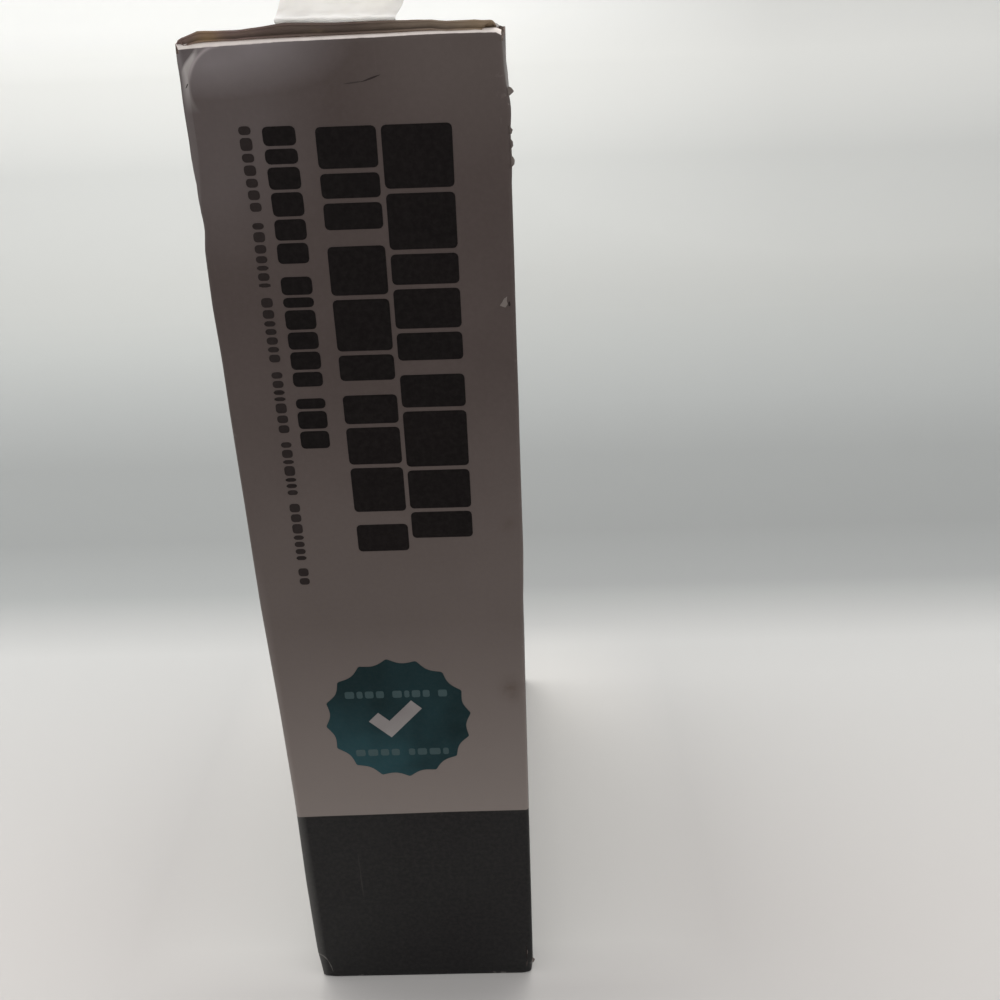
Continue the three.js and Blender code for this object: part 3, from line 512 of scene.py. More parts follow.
# slot of the inner nodes: name, light, dark, grain, roughness, bump, other inputs
nodePlan = {
    "white_casing": (
        "whiteCasing", (232, 234, 235), (224, 226, 228), 60.0, (0.3, 0.42), (1400.0, 0.15, 0.02),
        {"Coat Weight": 0.1},
    ),
    "mirror_pan": (
        "mirrorPan", (206, 210, 214), (188, 192, 197), 40.0, (0.08, 0.2), (120.0, 0.06, 0.05),
        {"Metallic": 1.0},
    ),
    "dark_rubber": ("darkRubber", (46, 48, 50), (36, 38, 40), 200.0, (0.7, 0.88), (1200.0, 0.3, 0.03)),
    "clear_window": (
        "clearWindow", (214, 230, 238), (206, 224, 234), 30.0, (0.03, 0.09), (40.0, 0.03, 0.02),
        {"Transmission Weight": 0.85, "IOR": 1.46},
    ),
    "circuit_board": ("circuitBoard", (34, 96, 64), (24, 78, 50), 400.0, (0.4, 0.6), (900.0, 0.3, 0.04)),
    "lamp_ceramic": (
        "lampCeramic", (232, 219, 172), (222, 206, 150), 300.0, (0.3, 0.5), (900.0, 0.1, 0.02)
    ),
    "copper": (
        "copperWinding", (190, 116, 72), (160, 92, 54), 500.0, (0.2, 0.38), (2200.0, 0.6, 0.08),
        {"Metallic": 1.0},
    ),
    "ferrite": ("ferriteSheet", (60, 62, 66), (48, 50, 54), 500.0, (0.5, 0.7), (1600.0, 0.25, 0.03)),
    "steel": (
        "steelTurned", (176, 178, 182), (150, 153, 158), 300.0, (0.2, 0.35), (1500.0, 0.12, 0.02),
        {"Metallic": 1.0},
    ),
    "black_plastic": ("blackPlastic", (34, 35, 37), (27, 28, 30), 150.0, (0.4, 0.55), (1600.0, 0.25, 0.02)),
    "teal_plastic": (
        "tealPlastic", (34, 128, 134), (28, 112, 120), 150.0, (0.3, 0.45), (1600.0, 0.15, 0.02)
    ),
}
nodeFinishes = {slot: plainFinish(*plan) for slot, plan in nodePlan.items()}
nodeFinishes["kraft_board"] = kraftLiner
nodeFinishes["moulded_pulp"] = pulpFinish
nodeFinishes["leaflet_paper"] = leafletFinish
nodeFinishes["paper_tape"] = tapePaper
nodeFinishes["printed_board"] = printedUpper


def bottomPrint():
    # the outer bottom flap: black print below, kraft on its other faces
    material, tree, shader, where = emptyMaterial("bottomPrint")
    fibres = noiseAt(tree, where, 900.0, 4.0, 0.7)
    above = spread(tree, axes(tree, where)["Z"], 0.0001, 0.0002)
    body = mixColour(tree, above, printTone("band"), paint(128, 101, 76))
    rubbed = spread(tree, noiseAt(tree, where, 160.0, 6.0, 0.7), 0.6, 0.72, 0.0, 0.4)
    body = mixColour(tree, rubbed, body, paint(120, 112, 106))
    surface(tree, shader, body, spread(tree, fibres, 0.3, 0.7, 0.45, 0.65), [(fibres, 0.2, 0.04)])
    return material


slotOf = {part["node"]: part["material_slot"] for part in frame["record"]["subparts"]}
for name, piece in frame["nodes"].items():
    piece.data.materials.clear()
    piece.data.materials.append(nodeFinishes[slotOf[name]])
frame["nodes"]["bottom_outer_flap"].data.materials[0] = bottomPrint()
print("materials made:", len(bpy.data.materials))


# meshes
def makePiece(name, points, faces, materials, faceMaterials=None, sharpAngle=38, attributes=None):
    corners = np.asarray(points, float)
    volume = 0.0
    for face in faces:
        first = corners[face[0]]
        for a, b in zip(face[1:-1], face[2:]):
            volume += float(np.dot(first, np.cross(corners[a], corners[b])))
    if volume < 0:
        faces = [face[::-1] for face in faces]
    mesh = bpy.data.meshes.new(name)
    mesh.from_pydata((corners * mm).tolist(), [], [tuple(int(i) for i in face) for face in faces])
    for material in materials:
        mesh.materials.append(material)
    if faceMaterials is not None:
        mesh.polygons.foreach_set("material_index", np.asarray(faceMaterials, np.int32))
    mesh.polygons.foreach_set("use_smooth", np.ones(len(mesh.polygons), bool))
    for key, values in (attributes or {}).items():
        layer = mesh.attributes.new(key, "FLOAT", "POINT")
        layer.data.foreach_set("value", np.asarray(values, np.float32))
    mesh.update()
    mesh.set_sharp_from_angle(angle=math.radians(sharpAngle))
    piece = bpy.data.objects.new(name, mesh)
    bpy.context.scene.collection.objects.link(piece)
    return piece


def carry(piece, body, slot, *replaced):
    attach(piece, body)
    if replaced:
        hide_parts(*replaced)
    return piece


def steps(start, end, size):
    count = max(1, round(abs(end - start) / size))
    return np.linspace(start, end, count + 1)


def runs(marks, sizes):
    # steps of a size of their own between each two marks
    parts = [steps(start, end, size) for start, end, size in zip(marks, marks[1:], sizes)]
    return np.concatenate([parts[0]] + [part[1:] for part in parts[1:]])


def boardPanel(
    name, place, sMarks, tMarks, raw, materials, recess=None, wearAndHighlight=None, stain=None, thickness=None
):
    # a sheet of board: place(s, t, depth) gives points, raw tells which ends (s low, s high, t low,
    # t high) show the flutes; materials are print, cut edge, core and inner liner
    deep = cartonShape["recess"] if recess is None else recess
    thick = board if thickness is None else thickness
    liner = cartonShape["liner"] * thick / board
    sMarks, tMarks = np.asarray(sMarks, float), np.asarray(tMarks, float)
    rows, columns = len(sMarks), len(tMarks)
    gridS, gridT = np.repeat(sMarks, columns), np.tile(tMarks, rows)
    index = np.arange(rows * columns).reshape(rows, columns)
    rim = list(index[:-1, 0]) + list(index[-1, :-1]) + list(index[:0:-1, -1]) + list(index[0, :0:-1])
    reach = place([sMarks[-1]], [tMarks[0]], 0.0) - place([sMarks[0]], [tMarks[0]], 0.0)
    sInset = deep / (np.linalg.norm(reach) + 1e-9) * (sMarks[-1] - sMarks[0])
    points = [place(gridS, gridT, 0.0)]
    wearAndHighlightValues = [np.zeros(rows * columns) if wearAndHighlight is None else wearAndHighlight(gridS, gridT)]
    depths = [np.zeros(rows * columns)]
    for inset, depth in ((0, liner), (1, liner + 0.02), (1, thick - liner - 0.02), (0, thick - liner)):
        low = sMarks[0] + (sInset * inset if raw[0] else 0)
        high = sMarks[-1] - (sInset * inset if raw[1] else 0)
        near = tMarks[0] + (deep * inset if raw[2] else 0)
        far = tMarks[-1] - (deep * inset if raw[3] else 0)
        points.append(place(np.clip(gridS[rim], low, high), np.clip(gridT[rim], near, far), depth))
        wearAndHighlightValues.append(np.zeros(len(rim)))
        depths.append(np.full(len(rim), depth / thick))
    points.append(place(gridS, gridT, thick))
    wearAndHighlightValues.append(np.zeros(rows * columns))
    depths.append(np.zeros(rows * columns))
    faces, kinds = [], []
    base = rows * columns
    last = base + 4 * len(rim)
    for i in range(rows - 1):
        for j in range(columns - 1):
            quad = (index[i, j], index[i + 1, j], index[i + 1, j + 1], index[i, j + 1])
            faces += [quad, tuple(last + v for v in quad[::-1])]
            kinds += [0, 3]
    rings = [rim] + [[base + k * len(rim) + v for v in range(len(rim))] for k in range(4)]
    rings.append([last + v for v in rim])
    # an end that isn't cut raw is liner, so that an opened fold shows no flutes
    cut = np.repeat([raw[2], raw[1], raw[3], raw[0]], [rows - 1, columns - 1] * 2)
    for level, kind in zip(range(5), (1, 1, 2, 1, 1)):
        for k in range(len(rim)):
            following = (k + 1) % len(rim)
            upper, lower = rings[level], rings[level + 1]
            faces.append((upper[k], lower[k], lower[following], upper[following]))
            kinds.append(kind if cut[k] else 3)
    allPoints = np.vstack(points)
    attributes = {
        "wearAndHighlight": np.concatenate(wearAndHighlightValues),
        "across": np.where(allPoints[:, 1] < -66, allPoints[:, 0] / halfWidth, 0.0),
        "deep": np.concatenate(depths),
        "stain": np.zeros(len(allPoints)) if stain is None else stain(allPoints),
    }
    return makePiece(name, allPoints, faces, materials, kinds, attributes=attributes)


boardFaces = [printedUpper, kraftEdge, kraftCore, kraftLiner]
rawAlong = (False, False, True, True)
noneRaw = (False,) * 4
bothEnds = ((-1, "Front"), (1, "Rear"))

# the tube of four walls, with smudges in its print: centre, reach, strength
stains = [
    ((26.2, -halfDepth, 96.4), 2.2, 0.55),
    ((26.9, -halfDepth, 93.4), 1.3, 0.45),
    ((26.8, -halfDepth, 140.0), 1.4, 0.3),
    ((-20.0, -halfDepth, 165.0), 1.0, 0.25),
    ((halfWidth, -30.0, 120.0), 3.0, 0.3),
    ((-halfWidth, 20.0, 200.0), 2.5, 0.3),
]


def stainAt(points):
    total = np.zeros(len(points))
    for centre, reach, amount in stains:
        away = np.linalg.norm(points - np.array(centre), axis=1) / reach
        total = np.maximum(total, amount * np.exp(-(away**2)))
    return total


def tubeStations():
    # outer points of the tube in plan, anticlockwise: place, outward normal, top height, how near a
    # fold, and how far the outer face stands out of its round corner
    radius = cartonShape["cornerRadius"]
    reachX, reachY = halfWidth - radius, halfDepth - radius
    walls = [
        ((-reachX, -halfDepth), (reachX, -halfDepth), cartonShape["frontStep"], spineTop),
        ((halfWidth, -reachY), (halfWidth, reachY), cartonShape["sideStep"], tuckTop),
        ((reachX, halfDepth), (-reachX, halfDepth), cartonShape["rearStep"], spineTop),
        ((-halfWidth, reachY), (-halfWidth, -reachY), cartonShape["sideStep"], hingeTop),
    ]
    stations = []
    for start, end, size, top in walls:
        start, end = np.array(start), np.array(end)
        way = (end - start) / np.linalg.norm(end - start)
        normal = np.array((way[1], -way[0]))
        length = np.linalg.norm(end - start)
        # 0.25 mm from each corner the height steps from a spine's to a side wall's
        for mark in sorted([*steps(0, length, size), 0.25, length - 0.25]):
            inner = min(mark, length - mark)
            height = top if inner > 0.1 else spineTop
            if top == tuckTop and inner > 0.1:
                height = spineTop + (top - spineTop) * float(smoothStep(-3.0, 9.0, inner))
            nearFold = 0.15 * float(np.exp(-inner / 0.7))
            stations.append((*(start + way * mark), *normal, height, nearFold, 0.0, 0.0))
        centre = end - normal * radius
        nextNormal = np.array((-normal[1], normal[0]))
        for share in (0.12, 0.28, 0.5, 0.72, 0.88):
            angle = share * math.pi / 2
            turned = normal * math.cos(angle) + nextNormal * math.sin(angle)
            tight = normal * math.cos(angle) ** 0.5 + nextNormal * math.sin(angle) ** 0.5
            crest = (1 - 1.6 * abs(share - 0.5)) ** 2
            outer = centre + turned * radius
            stations.append((*outer, *turned, spineTop, crest, *((tight - turned) * radius)))
    return np.array(stations)


def cartonWalls():
    stations = tubeStations()
    liner, bandTop = cartonShape["liner"], cartonShape["bandTop"]
    sizes = (cartonShape["levelStep"], cartonShape["levelStep"], cartonShape["topLevelStep"])
    levels = [0.35, 1.1, 2.4, *runs((4.2, bandTop, 200.0, spineTop - 1.6), sizes)]
    places, normals = stations[:, :2], stations[:, 2:4]
    tops, nearFold, tight = stations[:, 4], stations[:, 5], stations[:, 6:8]
    count = len(stations)
    # each loop: how far in from the outer face, height at every station, face kind towards the next loop
    loops = [(0.5, np.zeros(count), 1), (0.12, np.full(count, 0.1), 1)]
    loops += [(0.0, np.full(count, level), 1 if level < bandTop - 0.01 else 0) for level in levels]
    loops += [(0.0, levels[-1] + (tops - levels[-1]) * share, 0) for share in (0.35, 0.7)]
    recessed = tops - np.where(tops > hingeTop + 0.1, cartonShape["recess"], 0.04)
    loops += [(0.0, tops, 2), (liner, tops, 2), (liner + 0.02, recessed, 3)]
    loops += [(board - liner - 0.02, recessed, 2), (board - liner, tops, 2), (board, tops, 4)]
    loops += [(board, np.full(count, level), 4) for level in steps(spineTop - 1.6, 4.0, 6.0)]
    loops.append((board, np.zeros(count), 2))
    points, wearAndHighlight = [], []
    for inward, height, kind in loops:
        flat = places - normals * inward + tight * (1 - inward / board)
        points.append(np.column_stack((flat, height)))
        wearAndHighlight.append(nearFold * (0.12 if inward < 0.2 and height.max() > 0.3 else 0.0))
    points = np.vstack(points)
    wearAndHighlight = np.concatenate(wearAndHighlight)
    z = points[:, 2]
    ends = 0.35 + 0.65 * np.maximum(smoothStep(210, 236, z), smoothStep(14, 1, z))
    patchy = 0.55 + 0.6 * roughness(points, 0.09, 3.1)
    wearAndHighlight = np.clip(wearAndHighlight * ends * patchy, 0, 1)
    wearAndHighlight = np.maximum(wearAndHighlight, np.where((z < 0.6) & (z > 0.05), 0.08, 0.0))
    faces, kinds = [], []
    total = len(loops)
    for k in range(total):
        upper, lower = (k + 1) % total * count, k * count
        kind = loops[k][2]
        for i in range(count):
            j = (i + 1) % count
            faces.append((lower + i, lower + j, upper + j, upper + i))
            kinds.append(kind)
    attributes = {"wearAndHighlight": wearAndHighlight, "stain": stainAt(points)}
    materials = [printedUpper, printedBand, kraftEdge, kraftCore, kraftLiner]
    return makePiece("cartonWalls", wear(points), faces, materials, kinds, attributes=attributes)


carry(cartonWalls(), "carton", "printed_board", "carton_tube")
print("walls made")

glueShape = {
    "width": 18.0,
    "low": 6.0,
    "high": 222.5,
    "slopeFrom": 222.0,
    "slopeHeight": 12.0,
    "slope": 6.0,
}


def gluedFlap(s, t, depth):
    # the glue flap, inside the rear spine at the hinge corner
    x = np.asarray(s, float)
    y = np.full_like(x, halfDepth - board - 0.02) - depth
    risen = (np.asarray(t, float) - glueShape["slopeFrom"]) / glueShape["slopeHeight"]
    slope = glueShape["slope"] * np.clip(risen, 0, 1)
    return wear(np.column_stack((x - slope * (x + halfWidth) / glueShape["width"], y, t)))


glueFlap = boardPanel(
    "glueFlap", gluedFlap, steps(-halfWidth + board, -halfWidth + glueShape["width"], 4),
    steps(glueShape["low"], glueShape["high"], 8), (False, True, True, True),
    [kraftEdge, kraftEdge, kraftCore, kraftLiner], thickness=board - 0.1,
)
carry(glueFlap, "carton", "kraft_board")

# lid, tongue and dust flaps
lidShape = {
    "bow": 0.55,
    "lift": 0.95,  # share of the rises below
    "liftReach": 16.0,  # how far behind the front edge they fade
    "swell": 0.48,  # of the raw front edge
    "fray": 0.22,
}
# place across the spine and rise of the lid's torn front edge
edgeRises = [
    (-29.7, -2.3), (-28.1, -1.26), (-25.2, -0.3), (-22.0, -0.53), (-18.75, -0.69), (-13.8, -0.24),
    (-9.9, 0.25), (-1.0, -0.19), (8.0, -0.19), (10.7, -0.33), (16.2, -0.53), (18.5, -0.86),
    (24.5, -0.76), (26.2, -1.0), (27.5, -1.35),
]


def lidLift(x, y):
    # the lid bulges a little, and its torn front edge stands up towards the hinge side
    middle = lidShape["bow"] * (1 - np.clip(x / 28.0, -1, 1) ** 2) * (1 - np.clip(y / halfDepth, -1, 1) ** 2)
    front = np.interp(x, *zip(*edgeRises)) * np.exp(-np.clip(y + halfDepth, 0, None) / lidShape["liftReach"])
    return middle + front * lidShape["lift"]


def edgeSink(x, y, depth):
    # the raw front edge is swollen: its lower liner stays down on the fold
    gap = np.clip(lidShape["swell"] + lidShape["lift"] * lidLift(x, y), 0, None)
    return gap * np.exp(-np.clip(y - lidLow[1], 0, None) / 3.0) * depth / board


def rawEdge(y):
    # 1 at the lid's raw front and rear edges, fading over a millimetre
    return np.exp(-(y - lidLow[1]) / 0.5) + np.exp(-(lidHigh[1] - y) / 0.5)


def lidPlace(s, t, depth):
    x, y = np.asarray(s, float), np.asarray(t, float)
    z = np.full_like(x, cartonTop) - depth + lidLift(x, y) - edgeSink(x, y, depth)
    ragged = roughness(np.column_stack((x, y, np.full_like(x, depth * 2.0))), 0.9, 5.0)
    torn = lidShape["fray"] * rawEdge(y) * ragged
    return wear(np.column_stack((x, y + torn * np.sign(-y), z)))


tuckShape = {
    "beyond": 0.3,  # from the lid's CAD edge to the fold's axis
    "turn": 108.0,  # from the lid to the tongue, in degrees
    "tangent": 2.5,  # from the axis to where the bend begins and ends
    "bulge": 1.15,  # of the fold towards the wall
}
tuckFoldX = float(lidHigh[0]) + tuckShape["beyond"]
tuckTurn = math.radians(tuckShape["turn"])
tuckTangent = tuckShape["tangent"]
lidStart = -halfWidth + cartonShape["hingeRadius"]
lidEnd = tuckFoldX - tuckTangent
lidT = runs((lidLow[1], lidLow[1] + 6, lidHigh[1] - 3, lidHigh[1]), (0.6, 3.0, 0.75))
lidS = steps(lidStart, lidEnd, 1.3)


def lidWorn(s, t):
    return np.clip(0.8 * rawEdge(t), 0, 0.8)


# yellowed glue at both ends of the raw front edge: place, reach, strength
glueSpots = [(-24.2, 2.4, 1.0), (24.5, 4.0, 0.45)]


def glueResidue(points):
    x, y = points[:, 0], points[:, 1]
    amount = sum(strength * np.exp(-(((x - place) / reach) ** 2)) for place, reach, strength in glueSpots)
    return np.where(y < -66, np.clip(amount, 0, 1), 0.0)


lidPanel = boardPanel(
    "lidPanel", lidPlace, lidS, lidT, rawAlong, boardFaces, recess=0.3, wearAndHighlight=lidWorn, stain=glueResidue
)
carry(lidPanel, "lid", "printed_board", "lid_panel")

tuckRadius = tuckTangent / math.tan(tuckTurn / 2)
lean = tuckTurn - math.pi / 2
tongueShape = {
    "half": 66.4,
    "length": 14.0,
    "corner": 8.0,  # rounding of the two free corners
    "bend": 0.5,
}
tongueEnd = tuckTangent + tongueShape["length"]


def onTongue(s, y, depth, bend):
    # s: distance from the fold's axis down the tongue
    x = tuckFoldX - s * math.sin(lean) - (depth + bend) * math.cos(lean)
    z = cartonTop - s * math.cos(lean) + depth * math.sin(lean)
    return np.column_stack((x, y, z))


def tonguePlace(s, t, depth):
    s, t = np.asarray(s, float), np.asarray(t, float)
    length, corner = tongueShape["length"], tongueShape["corner"]
    down = s - tuckTangent
    over = np.clip(down - (length - corner), 0, corner)
    half = tongueShape["half"] - corner + np.sqrt(np.clip(corner**2 - over**2, 0.04, None))
    return onTongue(s, t * half, depth, tongueShape["bend"] * (down / length) ** 2)


def tongueWorn(s, t):
    return np.clip(0.7 * np.exp(-(tongueEnd - s) / 0.5), 0, 0.7)


tongue = boardPanel(
    "tuckTongue", tonguePlace, runs((tuckTangent, tuckTangent + 6, tongueEnd), (1.5, 0.7)),
    np.linspace(-1, 1, 49), (False, True, False, False), boardFaces, wearAndHighlight=tongueWorn,
)
carry(tongue, "tuck", "printed_board", "tuck_tongue")

dustShape = {
    "shoulder": 65.8,  # the flap tapers from here
    "tip": 36.0,
    "taper": 16.1,
    "notch": 7.73,  # beside the shoulder, at the tuck side
    "corner": 1.5,
    "droop": 0.5,
}


def dustPlace(side):
    shoulder, tip = dustShape["shoulder"], dustShape["tip"]
    reach = float(dustHigh[0])

    def place(s, t, depth):
        s, t = np.asarray(s, float), np.asarray(t, float)
        left = -reach + dustShape["taper"] * np.clip((shoulder - t) / (shoulder - tip), 0, 1)
        right = np.where(t > shoulder + 0.1, reach, reach - dustShape["notch"])
        right = right - dustShape["corner"] * smoothStep(tip + 3, tip, t)
        droop = dustShape["droop"] * smoothStep(shoulder, tip, t)
        return np.column_stack((left + (right - left) * s, t * side, dustTop - depth - droop))

    beforeNotch = steps(halfDepth - cartonShape["creaseRadius"], shoulder + 0.2, 0.8)
    marks = np.concatenate((beforeNotch, runs((shoulder, tip + 4, tip), (2.5, 0.8))))
    return place, marks[::-1]


for side, label in bothEnds:
    place, marks = dustPlace(side)
    flap = boardPanel(
        "dustFlap" + label, place, np.linspace(0, 1, 25), marks, (True, True, True, False), boardFaces
    )
    carry(flap, "dust_" + label.lower(), "printed_board", "dust_flap_" + label.lower())
print("lid, tongue and dust flaps made")


# folds between the panels: they bend across the joints
# the pale band along a fold: rubbed wear, and a painted highlight where the round fold catches the light
def foldWearAndHighlight(low, high, amount, seed, chip=0.7, narrow=0.0):
    # narrow: how much further up the pale line starts at the tuck side
    def wearAndHighlight(s, t):
        start = low + narrow * smoothStep(-24, -4, t)
        band = smoothStep(start - 0.1, start, s) * (1 - smoothStep(high, high + 0.12, s))
        chipped = 1.0 + chip * roughness(np.column_stack((s * 3, t, t * 0)), 0.35, seed)
        return np.clip(amount * band * chipped, 0, 1)

    return wearAndHighlight


def spineFold(side):
    radius = cartonShape["creaseRadius"]
    centreY, centreZ = halfDepth - radius, dustTop - radius

    def place(s, t, depth):
        angle = np.asarray(s, float) * math.pi / 2
        reach = radius - depth
        y = side * (centreY + reach * np.cos(angle))
        z = centreZ + reach * np.sin(angle)
        return wear(np.column_stack((-side * np.asarray(t, float), y, z)))

    return place


def lidFold(s, t, depth):
    radius = cartonShape["hingeRadius"]
    angle = np.asarray(s, float) * math.pi / 2
    reach = radius - depth
    x = -halfWidth + radius - reach * np.cos(angle)
    y = np.asarray(t, float)
    z = cartonTop - radius + reach * np.sin(angle)
    share = np.asarray(s, float) ** 0.7
    z = z + (lidLift(x, y) - edgeSink(x, y, depth)) * share
    return wear(np.column_stack((x, y, z)))


def tuckFold(s, t, depth):
    angle = np.asarray(s, float) * tuckTurn
    bulge = tuckShape["bulge"] * np.sin(math.pi * np.clip(s, 0, 1)) * (1 - depth / board)
    reach = tuckRadius - depth
    x = lidEnd + (reach + bulge) * np.sin(angle)
    half = lidHigh[1] + (tongueShape["half"] - lidHigh[1]) * smoothStep(0.3, 1.0, s)
    y = np.asarray(t, float) * half
    lift = (lidLift(x, y) - edgeSink(x, y, depth)) * (1 - smoothStep(0.0, 0.6, s))
    plain = np.column_stack((x, y, cartonTop - tuckRadius + reach * np.cos(angle) + lift))
    return plain + (wear(plain) - plain) * (1 - smoothStep(0.4, 1.0, s))[:, None]


foldSteps = np.linspace(0, 1, 16)
foldEnd = halfWidth - 0.15
foldThick = board - 0.05
for side, label in bothEnds:
    fold = boardPanel(
        "spineFold" + label, spineFold(side), foldSteps, steps(-foldEnd, foldEnd, 1.3), rawAlong,
        boardFaces, recess=0.3, wearAndHighlight=foldWearAndHighlight(0.3, 1.05, 0.9 - 0.4 * side, 2.0 + side, 0.1, 0.06),
        thickness=foldThick,
    )
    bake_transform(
        fold, "carton", "dust_" + label.lower(),
        start=(0, side * halfDepth * mm, spineTop * mm),
        end=(0, side * (halfDepth - cartonShape["creaseRadius"]) * mm, dustTop * mm),
    )
hingeFold = boardPanel(
    "hingeFold", lidFold, foldSteps, steps(lidLow[1], lidHigh[1], 2.0), rawAlong, boardFaces,
    recess=0.3, wearAndHighlight=foldWearAndHighlight(0.3, 0.75, 0.75, 6.0), thickness=foldThick, stain=glueResidue,
)
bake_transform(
    hingeFold, "carton", "lid",
    start=(-halfWidth * mm, 0, hingeTop * mm), end=(lidStart * mm, 0, cartonTop * mm),
)
tuckCrease = boardPanel(
    "tuckFold", tuckFold, np.linspace(0, 1, 13), np.linspace(-1, 1, 71), rawAlong, boardFaces,
    recess=0.0045, wearAndHighlight=foldWearAndHighlight(0.2, 0.7, 0.45, 9.0), thickness=foldThick, stain=glueResidue,
)
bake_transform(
    tuckCrease, "lid", "tuck",
    start=(lidEnd * mm, 0, cartonTop * mm),
    end=((tuckFoldX - tuckTangent * math.sin(lean)) * mm, 0, (cartonTop - tuckTangent * math.cos(lean)) * mm),
)
print("folds made")


# flutes in the raw edges, by geometry nodes
def treeWithInputs(name, inputs):
    tree = bpy.data.node_groups.new(name, "GeometryNodeTree")
    kinds = {float: "NodeSocketFloat", int: "NodeSocketInt"}
    for key, value in inputs.items():
        kind = kinds.get(type(value), "NodeSocketMaterial")
        kind = "NodeSocketObject" if isinstance(value, bpy.types.Object) else kind
        tree.interface.new_socket(name=key, in_out="INPUT", socket_type=kind)
    tree.interface.new_socket(name="Geometry", in_out="OUTPUT", socket_type="NodeSocketGeometry")
    source = tree.nodes.new("NodeGroupInput")
    return tree, source.outputs, tree.nodes.new("NodeGroupOutput")


def number(tree, operation, first, second=0.0):
    return addNode(tree, "ShaderNodeMath", {0: first, 1: second}, operation=operation).outputs[0]


def finishTree(tree, geometry, material, output):
    real = addNode(tree, "GeometryNodeRealizeInstances", {"Geometry": geometry})
    painted = addNode(tree, "GeometryNodeSetMaterial", {"Geometry": real.outputs[0], "Material": material})
    tree.links.new(painted.outputs[0], output.inputs[0])


def bakeTree(name, tree, values, mapping):
    carrier = bpy.data.objects.new(name, bpy.data.meshes.new(name))
    bpy.context.scene.collection.objects.link(carrier)
    modifier = carrier.modifiers.new(tree.name, "NODES")
    modifier.node_group = tree
    for item in tree.interface.items_tree:
        if item.item_type == "SOCKET" and item.in_out == "INPUT" and item.name in values:
            modifier[item.identifier] = values[item.name]
    graph = bpy.context.evaluated_depsgraph_get()
    mesh = bpy.data.meshes.new_from_object(carrier.evaluated_get(graph))
    carrier.modifiers.remove(modifier)
    carrier.data = mesh
    mesh.name = name
    count = len(mesh.vertices)
    places = np.zeros(count * 3, np.float32)
    mesh.vertices.foreach_get("co", places)
    moved = mapping(places.reshape(-1, 3).astype(float) / mm) * mm
    mesh.vertices.foreach_set("co", moved.astype(np.float32).ravel())
    for key in [layer.name for layer in mesh.attributes if layer.name in ("span", "side")]:
        mesh.attributes.remove(mesh.attributes[key])
    for key in ("wearAndHighlight", "stain", "across", "deep"):
        if key not in mesh.attributes:
            mesh.attributes.new(key, "FLOAT", "POINT")
    mesh.update()
    mesh.set_sharp_from_angle(angle=math.radians(38))
    return carrier


fluteInputs = {
    "Length": 0.1, "Pitch": 0.0032, "Swing": 0.0004, "Paper": 0.00018, "Depth": 0.0005,
    "Material": kraftCore,
}
fluteSink = 0.32  # how far the middle of the wave lies behind the raw edge


def fluteTree():
    # a wavy strip of paper along X, its wave in Y and its width in Z
    tree, given, output = treeWithInputs("fluteWave", fluteInputs)
    count = number(tree, "MULTIPLY", number(tree, "DIVIDE", given["Length"], given["Pitch"]), 10.0)
    line = addNode(tree, "GeometryNodeCurvePrimitiveLine", {"Start": (0, 0, 0)})
    end = addNode(tree, "ShaderNodeCombineXYZ", {0: given["Length"]})
    tree.links.new(end.outputs[0], line.inputs["End"])
    dense = addNode(tree, "GeometryNodeResampleCurve", {"Curve": line.outputs[0], "Count": count})
    place = addNode(tree, "GeometryNodeInputPosition").outputs[0]
    along = addNode(tree, "ShaderNodeSeparateXYZ", {0: place}).outputs[0]
    turns = number(tree, "MULTIPLY", number(tree, "DIVIDE", along, given["Pitch"]), 2 * math.pi)
    wave = number(tree, "MULTIPLY", number(tree, "SINE", turns), given["Swing"])
    offset = addNode(tree, "ShaderNodeCombineXYZ", {1: wave}).outputs[0]
    waved = addNode(tree, "GeometryNodeSetPosition", {"Geometry": dense.outputs[0], "Offset": offset})
    upright = addNode(tree, "GeometryNodeSetCurveNormal", {"Curve": waved.outputs[0]})
    upright.mode = "Z_UP"
    shape = addNode(tree, "GeometryNodeCurvePrimitiveQuadrilateral", {0: given["Paper"], 1: given["Depth"]})
    swept = {"Curve": upright.outputs[0], "Profile Curve": shape.outputs[0], "Fill Caps": True}
    strip = addNode(tree, "GeometryNodeCurveToMesh", swept)
    finishTree(tree, strip.outputs[0], given["Material"], output)
    return tree


flutes = fluteTree()


def fluteEdge(name, length, mapping, body):
    piece = bakeTree(name, flutes, dict(fluteInputs, Length=length * mm), mapping)
    return carry(piece, body, "kraft_board")


def tuckWallFlutes(points):
    x = halfWidth - board / 2 + points[:, 1]
    y = points[:, 0] - halfDepth + 3.0
    return wear(np.column_stack((x, y, tuckTop - fluteSink + points[:, 2])))


tongueFluteHalf = tongueShape["half"] - tongueShape["corner"] + 0.4


def tongueFlutes(points):
    s = tongueEnd - fluteSink + points[:, 2]
    return onTongue(s, points[:, 0] - tongueFluteHalf, board / 2 + points[:, 1], tongueShape["bend"])


def dustFlutes(side):
    def mapping(points):
        z = dustTop - board / 2 - dustShape["droop"] + points[:, 1]
        return np.column_stack((points[:, 0] - 11.0, side * (dustShape["tip"] + fluteSink + points[:, 2]), z))

    return mapping


fluteEdge("tuckWallFlutes", 2 * halfDepth - 6.0, tuckWallFlutes, "carton")
fluteEdge("tongueFlutes", 2 * tongueFluteHalf, tongueFlutes, "tuck")
for side, label in bothEnds:
    fluteEdge("dustFlutes" + label, 29.0, dustFlutes(side), "dust_" + label.lower())
print("flutes made")

# prints, thin solids that follow the worn board
printDepth = {"proud": 0.055, "sunk": 0.15}


